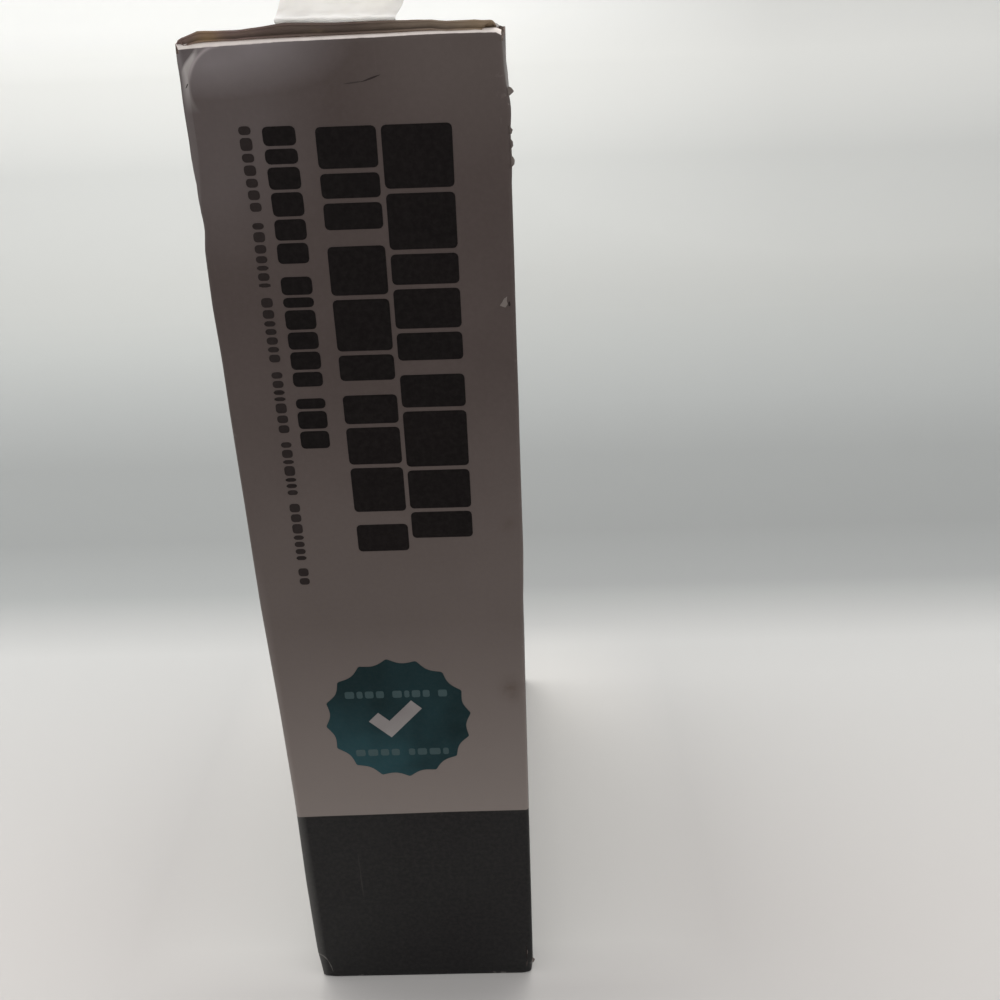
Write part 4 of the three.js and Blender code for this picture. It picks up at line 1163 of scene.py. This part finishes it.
def onFace(face, across, height, proud):
    across, height, proud = (np.asarray(v, float) for v in (across, height, proud))
    if face == "front":
        flat = np.column_stack((across, -halfDepth - proud, height))
    elif face == "rear":
        flat = np.column_stack((-across, halfDepth + proud, height))
    elif face == "right":
        flat = np.column_stack((halfWidth + proud, across, height))
    else:
        flat = np.column_stack((-halfWidth - proud, -across, height))
    return wear(flat)


def printBlock(name, height, radius, columns, rows):
    # one rounded block as a closed thin solid; "side" tells how far a column moves as the block grows
    marks = [(-radius * math.cos(a), -1.0) for a in np.linspace(0, math.pi / 2, 4)[:-1]]
    marks += [(0.0, side) for side in np.linspace(-1, 1, columns)]
    marks += [(-x, 1.0) for x, side in marks[2::-1]]
    acrossMarks = np.linspace(-1, 1, rows)
    points, sides = [], []
    for level in (printDepth["proud"], -printDepth["sunk"]):
        for x, side in marks:
            half = height / 2 - radius + math.sqrt(max(radius**2 - x**2, 0))
            for v in acrossMarks:
                points.append((x, v * half, level))
                sides.append(side)
    wide, base = len(acrossMarks), len(marks) * len(acrossMarks)
    faces = []
    for i in range(len(marks) - 1):
        for j in range(wide - 1):
            quad = (i * wide + j, (i + 1) * wide + j, (i + 1) * wide + j + 1, i * wide + j + 1)
            faces += [quad, tuple(base + v for v in quad[::-1])]
    rim = [i * wide for i in range(len(marks))] + [(len(marks) - 1) * wide + j for j in range(1, wide)]
    rim += [i * wide + wide - 1 for i in range(len(marks) - 2, -1, -1)] + list(range(wide - 2, 0, -1))
    for a, b in zip(rim, rim[1:] + rim[:1]):
        faces.append((a, base + a, base + b, b))
    return makePiece(name, points, faces, [], attributes={"side": sides})


def twoLevels(face, flat, proud=0.0):
    # a flat shape just in front of the board, then again behind the board's surface
    levels = (printDepth["proud"] + proud, -printDepth["sunk"])
    return np.vstack([onFace(face, flat[:, 0], flat[:, 1], np.full(len(flat), level)) for level in levels])


def blankMarks(count):
    return {"wearAndHighlight": np.zeros(count), "stain": np.zeros(count)}


printInputs = {
    "Count": 8, "Seed": 1, "Row Length": 0.08, "Shortest": 0.4, "Longest": 1.0, "Gap": 0.2,
    "Word Gap": 0.5, "Word Every": 4, "Corner": 0.0008, "Block": frame["nodes"]["lid_panel"],
    "Material": darkInk,
}


def printRowTree():
    # blocks of random length in a row of fixed length, with a wider gap after each word
    tree, given, output = treeWithInputs("printedRow", printInputs)
    dots = addNode(tree, "GeometryNodePoints", {"Count": given["Count"]}).outputs[0]
    index = addNode(tree, "GeometryNodeInputIndex").outputs[0]
    unitRange = {"Min": 0.0, "Max": 1.0, "ID": index, "Seed": given["Seed"]}
    length = addNode(tree, "FunctionNodeRandomValue", unitRange, data_type="FLOAT")
    reach = number(tree, "SUBTRACT", given["Longest"], given["Shortest"])
    own = number(tree, "ADD", number(tree, "MULTIPLY", length.outputs[1], reach), given["Shortest"])
    following = number(tree, "MODULO", number(tree, "ADD", index, 1.0), given["Word Every"])
    wordEnd = number(tree, "LESS_THAN", following, 0.5)
    lastOne = number(tree, "GREATER_THAN", number(tree, "ADD", index, 1.5), given["Count"])
    gap = number(tree, "ADD", given["Gap"], number(tree, "MULTIPLY", wordEnd, given["Word Gap"]))
    gap = number(tree, "MULTIPLY", gap, number(tree, "SUBTRACT", 1.0, lastOne))
    apart = number(tree, "ADD", own, gap)
    summed = addNode(tree, "GeometryNodeAccumulateField", {0: apart}, data_type="FLOAT")
    before, total = summed.outputs["Trailing"], summed.outputs["Total"]
    factor = number(tree, "DIVIDE", given["Row Length"], total)
    span = number(tree, "MULTIPLY", own, factor)
    centre = number(tree, "MULTIPLY", number(tree, "ADD", before, number(tree, "MULTIPLY", own, 0.5)), factor)
    stored = {"Geometry": dots, "Name": "span", "Value": span}
    kept = addNode(tree, "GeometryNodeStoreNamedAttribute", stored, data_type="FLOAT", domain="POINT")
    place = addNode(tree, "ShaderNodeCombineXYZ", {0: centre}).outputs[0]
    moved = addNode(tree, "GeometryNodeSetPosition", {"Geometry": kept.outputs[0], "Position": place})
    block = addNode(tree, "GeometryNodeObjectInfo", {"Object": given["Block"]})
    placed = {"Points": moved.outputs[0], "Instance": block.outputs["Geometry"]}
    copies = addNode(tree, "GeometryNodeInstanceOnPoints", placed)
    real = addNode(tree, "GeometryNodeRealizeInstances", {"Geometry": copies.outputs[0]})
    side = addNode(tree, "GeometryNodeInputNamedAttribute", {"Name": "side"}, data_type="FLOAT").outputs[0]
    width = addNode(tree, "GeometryNodeInputNamedAttribute", {"Name": "span"}, data_type="FLOAT").outputs[0]
    stretch = number(tree, "SUBTRACT", number(tree, "MULTIPLY", width, 0.5), given["Corner"])
    push = number(tree, "MULTIPLY", side, stretch)
    offset = addNode(tree, "ShaderNodeCombineXYZ", {0: push}).outputs[0]
    grown = addNode(tree, "GeometryNodeSetPosition", {"Geometry": real.outputs[0], "Offset": offset})
    finishTree(tree, grown.outputs[0], given["Material"], output)
    return tree


printedRow = printRowTree()


def printRow(
    name, face, start, length, middle, height, count, seed, ink, down, wordEvery, corner, shares, proud=0.0
):
    # a row of blocks on a face: down the face from height start, or across it from place start;
    # shares: shortest block, longest block, gap, and what a gap between words adds
    radius = corner if corner is not None else min(0.9, height * 0.3)
    fine = height < 2.5
    block = printBlock("printBlockShape", height, radius, 2 if fine else 5, 2 if fine else 6)
    shortest, longest, gap, wordGap = shares
    values = {
        "Count": count, "Seed": seed, "Row Length": length * mm, "Shortest": shortest,
        "Longest": longest, "Gap": gap, "Word Gap": wordGap, "Word Every": wordEvery,
        "Corner": radius * mm, "Block": block, "Material": ink,
    }

    def mapping(points):
        lift = points[:, 2] + np.where(points[:, 2] > 0, proud, 0.0)
        if down:
            return onFace(face, middle + points[:, 1], start - points[:, 0], lift)
        return onFace(face, start + points[:, 0], middle + points[:, 1], lift)

    piece = bakeTree(name, printedRow, values, mapping)
    bpy.data.objects.remove(block)
    return piece


def joinPieces(name, pieces):
    # several pieces with their own materials become one
    for piece in pieces:
        piece.select_set(True)
    bpy.context.view_layer.objects.active = pieces[0]
    bpy.ops.object.join()
    merged = bpy.context.view_layer.objects.active
    merged.name = name
    merged.data.name = name
    bpy.ops.object.select_all(action="DESELECT")
    return merged


bpy.ops.object.select_all(action="DESELECT")
headlines = [
    # label, start height, length, middle, width, count, seed, ink, blocks in a word, shares
    ("headline", 223.0, 86.0, 12.3, 13.2, 9, 21, darkInk, 5, (0.5, 1.3, 0.09, 0.22)),
    ("headlineSecond", 223.0, 89.0, -0.8, 11.2, 10, 34, darkInk, 3, (0.45, 1.3, 0.1, 0.26)),
    ("headlineThird", 223.4, 64.4, -13.0, 6.0, 15, 11, darkInk, 6, (0.35, 1.0, 0.12, 0.45)),
    ("headlineFourth", 223.6, 97.6, -19.1, 2.2, 44, 5, thinInk, 7, (0.3, 1.0, 0.22, 0.7)),
]


def headlineSet(name, face):
    rows = [
        printRow(name + label, face, *row, True, every, None, shares)
        for label, *row, every, shares in headlines
    ]
    return carry(joinPieces(name, rows), "carton", "printed_board")


headlineSet("frontHeadline", "front")
headlineSet("rearHeadline", "rear")
print("headlines made")

sealShape = {"radius": 17.7, "tips": 16, "valley": 1.25, "turn": 95.0, "middle": (-1.4, 87.7)}


def sealDisc(name, face, middle, radius, ink):
    # a scalloped seal with pointed tips and rounded valleys
    around = 16 * sealShape["tips"]
    rings = 11
    angles = np.linspace(0, 2 * math.pi, around, endpoint=False)
    start = math.radians(sealShape["turn"])
    valley = sealShape["valley"] * radius / sealShape["radius"]
    wave = np.abs(np.sin(sealShape["tips"] / 2 * (angles - start)))
    edge = radius - valley * wave
    flat = [middle]
    for ring in range(1, rings + 1):
        share = ring / rings
        reach = share * (radius - valley) * (1 - share**4) + edge * share * share**4
        flat += [(middle[0] + r * math.cos(a), middle[1] + r * math.sin(a)) for r, a in zip(reach, angles)]
    half = len(flat)
    faces = []
    for k in range(around):
        j = (k + 1) % around
        faces += [(0, 1 + k, 1 + j), (half, half + 1 + j, half + 1 + k)]
        for ring in range(rings - 1):
            a, b = 1 + ring * around, 1 + (ring + 1) * around
            faces += [(a + k, b + k, b + j, a + j), (half + a + j, half + b + j, half + b + k, half + a + k)]
        rim = 1 + (rings - 1) * around
        faces.append((rim + k, half + rim + k, half + rim + j, rim + j))
    placed = twoLevels(face, np.array(flat))
    return makePiece(name, placed, faces, [ink], sharpAngle=60, attributes=blankMarks(2 * half))


def slab(name, face, outline, ink, proud=0.03):
    # a flat printed shape from its outline
    count = len(outline)
    faces = [tuple(range(count)), tuple(range(2 * count - 1, count - 1, -1))]
    faces += [(k, count + k, count + (k + 1) % count, (k + 1) % count) for k in range(count)]
    placed = twoLevels(face, np.array(outline), proud)
    return makePiece(name, placed, faces, [ink], attributes=blankMarks(2 * count))


def checkOutline(middle, size):
    # a bold tick
    shape = [(-1.0, 0.05), (-0.62, 0.45), (-0.22, 0.06), (0.66, 0.98), (1.04, 0.6), (-0.2, -0.72)]
    return [(middle[0] + size * x, middle[1] + size * y) for x, y in shape]


# label, height over the middle, start, length, count
sealRows = [("Upper", 7.6, -12.2, 24.4, 9), ("Lower", -9.8, -11.2, 22.8, 8)]


def sealSet(name, face, middle, scale):
    tick = checkOutline((middle[0] - 0.8 * scale, middle[1] - 0.6 * scale), 6.4 * scale)
    parts = [
        sealDisc(name + "Disc", face, middle, sealShape["radius"] * scale, tealInk),
        slab(name + "Tick", face, tick, paleInk),
    ]
    for label, rise, start, length, count in sealRows:
        parts.append(printRow(
            name + label, face, middle[0] + start * scale, length * scale, middle[1] + rise * scale,
            2.0 * scale, count, 17 + count, faintInk, False, 4, 0.5 * scale, (0.5, 1.0, 0.25, 0.6), 0.03,
        ))
    return carry(joinPieces(name, parts), "carton", "printed_board")


sealSet("frontSeal", "front", sealShape["middle"], 1.0)
sealSet("rearSeal", "rear", sealShape["middle"], 1.0)
print("seals made")


def ringOutline(centre, half, corner, width):
    # closed ribbon round a rounded rectangle, as inner and outer loops
    count = 8  # pieces of each rounded corner
    loops = []
    for grow in (0.0, width):
        loop = []
        for quarter, (sx, sy) in enumerate(((1, 1), (-1, 1), (-1, -1), (1, -1))):
            for k in range(count + 1):
                angle = (quarter + k / count) * math.pi / 2
                x = sx * (half[0] - corner) + (corner + grow) * math.cos(angle)
                y = sy * (half[1] - corner) + (corner + grow) * math.sin(angle)
                loop.append((centre[0] + x, centre[1] + y))
        dense = []
        for (ax, ay), (bx, by) in zip(loop, loop[1:] + loop[:1]):
            pieces = max(1, int(max(abs(bx - ax), abs(by - ay)) / 5))
            dense += [(ax + (bx - ax) * k / pieces, ay + (by - ay) * k / pieces) for k in range(pieces)]
        loops.append(dense)
    return loops


def ribbonRing(name, face, centre, half, corner, width, ink):
    inner, outer = ringOutline(centre, half, corner, width)
    count = len(inner)
    deep = 2 * count
    faces = []
    for k in range(count):
        j = (k + 1) % count
        a, b, c, d = k, j, count + j, count + k
        faces += [(a, d, c, b), (deep + a, deep + b, deep + c, deep + d)]
        faces += [(d, deep + d, deep + c, c), (a, b, deep + b, deep + a)]
    placed = twoLevels(face, np.array(inner + outer))
    return makePiece(name, placed, faces, [ink], attributes=blankMarks(2 * deep))


sideRings = [
    # label, half size, corner, width, ink
    ("Body", (35.0, 56.0), 12.0, 0.9, darkInk),
    ("Chamber", (27.0, 48.0), 7.0, 0.6, greyInk),
    ("Phone", (17.5, 37.0), 4.5, 0.5, greyInk),
]
sideRows = [
    # label, start, length, middle, width, count, seed, ink, down, blocks in a word, corner, shares
    ("LightLeft", 192.0, 68.0, -22.5, 1.8, 9, 3, tealInk, True, 20, 0.8, (0.9, 1.0, 0.3, 0.0)),
    ("LightRight", 192.0, 68.0, 22.5, 1.8, 9, 4, tealInk, True, 20, 0.8, (0.9, 1.0, 0.3, 0.0)),
    ("Title", -56.0, 74.0, 88.0, 7.0, 9, 8, darkInk, False, 4, None, (0.5, 1.0, 0.16, 0.5)),
    ("Words", -56.0, 60.0, 79.0, 2.4, 16, 9, thinInk, False, 5, None, (0.35, 1.0, 0.3, 0.7)),
    ("More", -56.0, 48.0, 73.6, 2.4, 13, 12, thinInk, False, 4, None, (0.35, 1.0, 0.3, 0.7)),
]


def sidePrint(name, face):
    # the wide faces: an outline of the box with its light bars, and a few rows of plain blocks
    parts = [ribbonRing(name + label, face, (0.0, 158.0), *ring) for label, *ring in sideRings]
    parts += [printRow(name + label, face, *row) for label, *row in sideRows]
    carry(joinPieces(name, parts), "carton", "printed_board")
    sealSet(name + "Seal", face, (46.0, 82.0), 0.78)


sidePrint("leftPrint", "left")
sidePrint("rightPrint", "right")
print("side prints made")

# thin creases in the print, the dark ones painted shade along each crease: start, end, width, ink
creaseLines = [
    ((-29.3, 230.4), (-28.0, 231.3), 0.3, greyInk),
    ((-0.4, 230.0), (3.2, 230.3), 0.2, greyInk),
    ((2.8, 230.2), (6.4, 231.2), 0.26, scratchInk),
    ((28.05, 11.0), (27.95, 5.4), 0.35, thinInk),
    ((28.25, 9.0), (28.1, 7.2), 0.4, chipPaper),
    ((28.25, 5.0), (28.0, 2.6), 0.55, greyInk),
]
creasePieces = []
for start, end, width, ink in creaseLines:
    start, end = np.array(start), np.array(end)
    way = (end - start) / np.linalg.norm(end - start)
    across = np.array((-way[1], way[0]))
    marks = np.linspace(0, 1, 7)
    half = width / 2 * np.sin(math.pi * marks) + 0.02
    line = start + np.outer(marks, end - start)
    outline = np.vstack((line - across * half[:, None], (line + across * half[:, None])[::-1]))
    creasePieces.append(slab("crease", "front", outline, ink, 0.0))
# a small chip in the print beside the tuck side's fold
chipPlace = (27.6, 188.9)
chipOutline = [(-1.0, -0.5), (-0.5, 0.2), (-0.1, 0.9), (0.5, 1.3), (0.4, 0.4), (0.6, -0.2), (0.1, -0.9)]
chipSpeck = [(0.75, -0.6), (0.7, 0.1), (1.0, 0.35), (1.15, -0.2), (1.05, -0.65)]
for shape, ink in ((chipOutline, chipPaper), (chipSpeck, thinInk)):
    outline = [(chipPlace[0] + x, chipPlace[1] + z) for x, z in shape]
    creasePieces.append(slab("chip", "front", outline, ink, 0.0))
carry(joinPieces("frontCreases", creasePieces), "carton", "printed_board")

# seal tape, peeled up at the front
tapeShape = {"thick": 0.3, "crumple": 0.42, "edge": 0.5, "widening": 0.5, "bump": 0.9}
# share of the tape's length, Y, height over the lid
tapeCourse = [
    (0.0, 57.5, 0.0), (0.84, -60.0, 0.0), (0.885, -65.6, 0.15), (0.915, -67.7, 1.3),
    (0.94, -68.1, 3.4), (0.968, -67.9, 6.2), (1.0, -67.2, 8.8),
]


def tapePlace(s, t, depth):
    # s runs from the rear end to the front one, t across; it stands up before the front edge
    s, t = np.asarray(s, float), np.asarray(t, float)
    marks, ys, zs = zip(*tapeCourse)
    soft = np.linspace(-0.022, 0.022, 7)
    y = sum(np.interp(s + d, marks, ys) for d in soft) / len(soft)
    risen = sum(np.interp(s + d, marks, zs) for d in soft) / len(soft)
    x = (tapeLow[0] + tapeHigh[0]) / 2 + t * (tapeHigh[0] - tapeLow[0]) / 2
    flat = np.column_stack((x, y, risen))
    free = smoothStep(0.86, 0.93, s)
    wrinkle = roughness(flat, 0.11, 1.3) + 0.5 * np.abs(roughness(flat, 0.3, 2.3))
    wrinkle = wrinkle + 0.3 * roughness(flat, 0.7, 7.3)
    up = tapeShape["crumple"] * wrinkle * (0.35 + 1.4 * free)
    z = cartonTop + lidLift(x, y) + 0.34 + risen + np.clip(up, -0.1, None) * (1 - free * 0.5)
    y = y - up * free * 1.6
    ragged = roughness(np.column_stack((s * 60, t * 3, s * 0)), 0.5, 4.0)
    x = x + tapeShape["edge"] * np.abs(t) ** 6 * np.sign(t) * ragged
    x = x + tapeShape["widening"] * risen * free * t**2
    bump = np.exp(-(((x + 5.3) / 3.0) ** 2) - ((risen - 5.0) / 1.6) ** 2)
    y = y - tapeShape["bump"] * bump * free
    return np.column_stack((x, y + depth * free, z - depth * (1 - 0.5 * free)))


tape = boardPanel(
    "sealTapePaper", tapePlace, np.concatenate((np.linspace(0, 0.8, 60), np.linspace(0.8, 1, 46)[1:])),
    np.linspace(-1, 1, 23), noneRaw, [tapePaper] * 4, recess=0.0, thickness=tapeShape["thick"],
)
carry(tape, "lid", "paper_tape", "seal_tape")
print("tape made")

# torn bits along the tuck side's front fold
tornBits = [
    # place behind the front, height, width out, tallness, lean
    (0.6, 227.7, 1.25, 1.5, 0.3),
    (0.7, 221.4, 0.8, 1.6, -0.2),
    (0.7, 218.6, 0.9, 2.4, 0.1),
    (0.6, 215.4, 1.2, 2.2, 0.25),
    (0.3, 4.6, 0.7, 1.4, 0.4),
]


def tornBit(behind, level, out, tall, tilt):
    def place(s, t, depth):
        s, t = np.asarray(s, float), np.asarray(t, float)
        ragged = 1 + 0.45 * roughness(np.column_stack((t * 4, s * 0 + level, t * 0)), 0.9, 3.0)
        x = halfWidth - 0.5 + out * s * (1 - 0.55 * (2 * t - 1) ** 2) * ragged
        y = -halfDepth + behind - depth - 0.35 * s * s + tilt * t
        return np.column_stack((x, y, level + tall * (t - 0.5) + tilt * s))

    return boardPanel(
        "tornBit", place, np.linspace(0, 1, 6), np.linspace(0, 1, 8), noneRaw, [tornPaper] * 4,
        recess=0.0, thickness=0.16,
    )


carry(joinPieces("tornEdges", [tornBit(*bit) for bit in tornBits]), "carton", "printed_board")

# packing: rounded, uneven pulp caps and a folded leaflet
pulpShape = {"voxel": 1.1, "unevenness": 0.12, "shrink": 0.14}


def softCopy(name, node, material):
    mesh = frame["nodes"][node].data.copy()
    mesh.name = name
    piece = bpy.data.objects.new(name, mesh)
    bpy.context.scene.collection.objects.link(piece)
    weld = piece.modifiers.new("weld", "WELD")
    weld.merge_threshold = 0.00001
    even = piece.modifiers.new("even", "REMESH")
    even.mode = "VOXEL"
    even.voxel_size = pulpShape["voxel"] * mm
    rounded = piece.modifiers.new("rounded", "SMOOTH")
    rounded.factor = 0.5
    rounded.iterations = 4
    graph = bpy.context.evaluated_depsgraph_get()
    baked = bpy.data.meshes.new_from_object(piece.evaluated_get(graph))
    piece.modifiers.clear()
    piece.data = baked
    count = len(baked.vertices)
    places, normals = np.zeros(count * 3, np.float32), np.zeros(count * 3, np.float32)
    baked.vertices.foreach_get("co", places)
    baked.vertices.foreach_get("normal", normals)
    places = places.reshape(-1, 3).astype(float) / mm
    normals = normals.reshape(-1, 3).astype(float)
    uneven = roughness(places, 0.06, 2.0) + 0.5 * roughness(places, 0.35, 5.0)
    moved = places + normals * (pulpShape["unevenness"] * uneven - pulpShape["shrink"])[:, None]
    baked.vertices.foreach_set("co", (moved * mm).astype(np.float32).ravel())
    baked.materials.clear()
    baked.materials.append(material)
    baked.polygons.foreach_set("use_smooth", np.ones(len(baked.polygons), bool))
    baked.update()
    baked.set_sharp_from_angle(angle=math.radians(50))
    return piece


for end in ("bottom", "top"):
    cap = softCopy("pulpCap" + end.capitalize(), "pulp_cap_" + end, pulpFinish)
    carry(cap, "carton", "moulded_pulp", "pulp_cap_" + end)

leafletShape = {
    "layers": 6,
    "lift": 0.15,  # how unevenly the top layer lies
    "inset": 0.4,
}


def leafletPlace(s, t, depth):
    # a strip of paper folded to and fro across the carton: s counts the layers
    s, t = np.asarray(s, float), np.asarray(t, float)
    layers = leafletShape["layers"]
    layer = np.clip(np.floor(s), 0, layers - 1)
    share = s - layer
    left, right = leafletLow[0] + leafletShape["inset"], leafletHigh[0] - leafletShape["inset"]
    gap = (leafletHigh[2] - leafletLow[2] - 0.3) / layers
    across = np.where(layer % 2 == 0, share, 1 - share)
    bend = smoothStep(0.94, 1.0, share) * (layer < layers - 1)
    lift = leafletShape["lift"] * np.abs(np.sin(t / 40 + 0.5)) * (layer / layers)
    z = leafletLow[2] + 0.05 + gap * (layer + bend) + lift + depth * 0.6
    return np.column_stack((left + (right - left) * across, t, z))


oneLayer = np.array([0.0, 0.3, 0.6, 0.9, 0.94, 0.96, 0.98, 0.995])
layerMarks = np.concatenate([k + oneLayer for k in range(leafletShape["layers"])] + [[5.9999]])
leafletSheet = boardPanel(
    "foldedLeaflet", leafletPlace, layerMarks, steps(leafletLow[1] + 0.3, leafletHigh[1] - 0.3, 6.0),
    noneRaw, [leafletFinish] * 4, recess=0.0, thickness=0.14,
)
carry(leafletSheet, "carton", "leaflet_paper", "leaflet")
print("packing made")

# stage, light and camera
stageShape = {"wallY": 900.0, "curve": 260.0, "height": 1500.0, "halfWidth": 1600.0, "frontY": -1200.0}
# tones of the sweep, from the floor in front (Y + Z, in m) up to the wall's top; painted light and shade:
# darker at the back of the floor, lighter up the wall
sweepTones = [
    (-0.30, (206, 203, 199)), (-0.05, (203, 200, 197)), (0.095, (200, 200, 198)), (0.145, (162, 164, 163)),
    (0.20, (149, 151, 150)), (0.30, (150, 152, 151)), (0.40, (162, 164, 163)), (0.55, (178, 180, 178)),
    (0.75, (193, 194, 191)), (0.96, (211, 212, 209)), (1.10, (245, 245, 241)), (1.30, (254, 254, 252)),
]
# painted shadow: how much darker the sweep is on the tuck side of the carton
sweepShadows = [
    (-0.05, 0.0), (0.07, 0.03), (0.095, 0.085), (0.145, 0.2), (0.20, 0.15), (0.30, 0.05), (0.40, 0.03),
    (0.55, 0.11), (0.70, 0.12), (0.85, 0.04), (0.96, 0.0),
]


def toneRamp(tree, along, stops):
    low, high = stops[0][0], stops[-1][0]
    made = addNode(tree, "ShaderNodeValToRGB", {0: spread(tree, along, low, high)})
    marks = made.color_ramp.elements
    marks[0].color = stops[0][1]
    marks[-1].color = stops[-1][1]
    for place, tone in stops[1:-1]:
        marks.new((place - low) / (high - low)).color = tone
    return made.outputs[0]


def seenDirectly(tree):
    # 1 for rays from the camera, and for those that a mirror or a window sends on
    rays = addNode(tree, "ShaderNodeLightPath").outputs
    seen = combine(tree, "MAXIMUM", rays["Is Camera Ray"], rays["Is Glossy Ray"])
    return combine(tree, "MAXIMUM", seen, rays["Is Transmission Ray"])


def stageMaterial():
    material, tree, shader, where = emptyMaterial("paleSweep")
    parts = axes(tree, where)
    along = number(tree, "ADD", parts["Y"], parts["Z"])
    # painted light and shade along the sweep
    colour = toneRamp(tree, along, [(place, paint(*tone)) for place, tone in sweepTones])
    # painted shadow on the tuck side of the carton
    paintedShadow = toneRamp(tree, along, [(place, (share, share, share, 1.0)) for place, share in sweepShadows])
    paintedShadow = product(tree, paintedShadow, spread(tree, parts["X"], -0.03, 0.03))
    # painted shade: the back of the sweep darker towards the right
    right = product(tree, spread(tree, parts["X"], 0.02, 0.32, 0.0, 0.16), spread(tree, along, 0.6, 0.95))
    colour = mixColour(tree, combine(tree, "MAXIMUM", paintedShadow, right), colour, paint(120, 120, 120))
    # painted light: the floor paler beside the carton, against its shade
    sides = product(
        tree, spread(tree, number(tree, "ABSOLUTE", parts["X"]), 0.04, 0.085, 1.0, 0.0),
        spread(tree, along, -0.075, -0.06), spread(tree, along, 0.05, 0.11, 1.0, 0.0),
    )
    colour = mixColour(tree, sides, colour, paint(222, 220, 216))
    tree.links.new(colour, shader.inputs["Base Color"])
    # painted glow: the wall's top glows for rays from the camera
    paintedGlow = product(
        tree, seenDirectly(tree), spread(tree, along, 1.09, 1.15, 0.0, 0.14),
        spread(tree, parts["X"], 0.3, 0.0),
    )
    tree.links.new(paintedGlow, shader.inputs["Emission Strength"])
    shader.inputs["Emission Color"].default_value = (1.0, 1.0, 1.0, 1.0)
    shader.inputs["Roughness"].default_value = 0.9
    shader.inputs["Specular IOR Level"].default_value = 0.1
    return material


def sweep():
    wallY, curve = stageShape["wallY"], stageShape["curve"]
    profile = [(y, 0.0) for y in (stageShape["frontY"], -400.0, 0.0, 300.0, wallY - curve)]
    for k in range(1, 13):
        angle = k / 12 * math.pi / 2
        profile.append((wallY - curve + curve * math.sin(angle), curve - curve * math.cos(angle)))
    profile.append((wallY, stageShape["height"]))
    half = stageShape["halfWidth"]
    points = [(x, y, z - 0.03) for x in (-half, half) for y, z in profile]
    count = len(profile)
    faces = [(k, count + k, count + k + 1, k + 1) for k in range(count - 1)]
    return makePiece("sweep", points, faces, [stageMaterial()], sharpAngle=80)


floorSweep = sweep()

lampPlan = [
    # name, place (m), size (m), power (W), colour
    ("overheadLamp", (-0.1, 0.45, 1.25), 1.3, 12.0, (1.0, 0.99, 0.97)),
    ("leftLamp", (-1.2, 0.1, 0.75), 0.9, 2.4, (0.98, 0.99, 1.0)),
    ("rightLamp", (1.1, -0.4, 0.6), 0.9, 2.0, (1.0, 0.99, 0.98)),
]
for name, place, size, power, colour in lampPlan:
    lamp = bpy.data.lights.new(name, "AREA")
    lamp.shape = "DISK"
    lamp.size = size
    lamp.energy = power
    lamp.color = colour
    holder = bpy.data.objects.new(name, lamp)
    bpy.context.scene.collection.objects.link(holder)
    holder.location = place
    holder.rotation_mode = "QUATERNION"
    holder.rotation_quaternion = (Vector((0, 0, 0.12)) - Vector(place)).to_track_quat("-Z", "Y")

world = bpy.data.worlds.new("softRoom")
bpy.context.scene.world = world
world.use_nodes = True
worldTree = world.node_tree
background = worldTree.nodes["Background"]
room = mixColour(worldTree, seenDirectly(worldTree), (0.62, 0.62, 0.63, 1.0), (0.80, 0.80, 0.80, 1.0))
worldTree.links.new(room, background.inputs["Color"])
background.inputs["Strength"].default_value = 1.0

cameraView = {
    "place": (29.508, -268.126, 238.911),
    "yaw": 1.236,
    "pitch": 25.185,
    "roll": 2.186,
    "lens": 36.325,
}
cameraData = bpy.data.cameras.new("photoCamera")
cameraData.lens = cameraView["lens"]
cameraData.sensor_width = 36.0
cameraData.clip_start = 0.01
cameraData.clip_end = 20.0
camera = bpy.data.objects.new("photoCamera", cameraData)
bpy.context.scene.collection.objects.link(camera)
turn = Matrix.Rotation(math.radians(cameraView["yaw"]), 4, "Z")
turn = turn @ Matrix.Rotation(math.radians(90 - cameraView["pitch"]), 4, "X")
turn = turn @ Matrix.Rotation(math.radians(-cameraView["roll"]), 4, "Z")
camera.matrix_world = Matrix.Translation(Vector(cameraView["place"]) * mm) @ turn
bpy.context.scene.camera = camera
bpy.context.scene.view_settings.view_transform = "Standard"
print("stage, lamps and camera made")
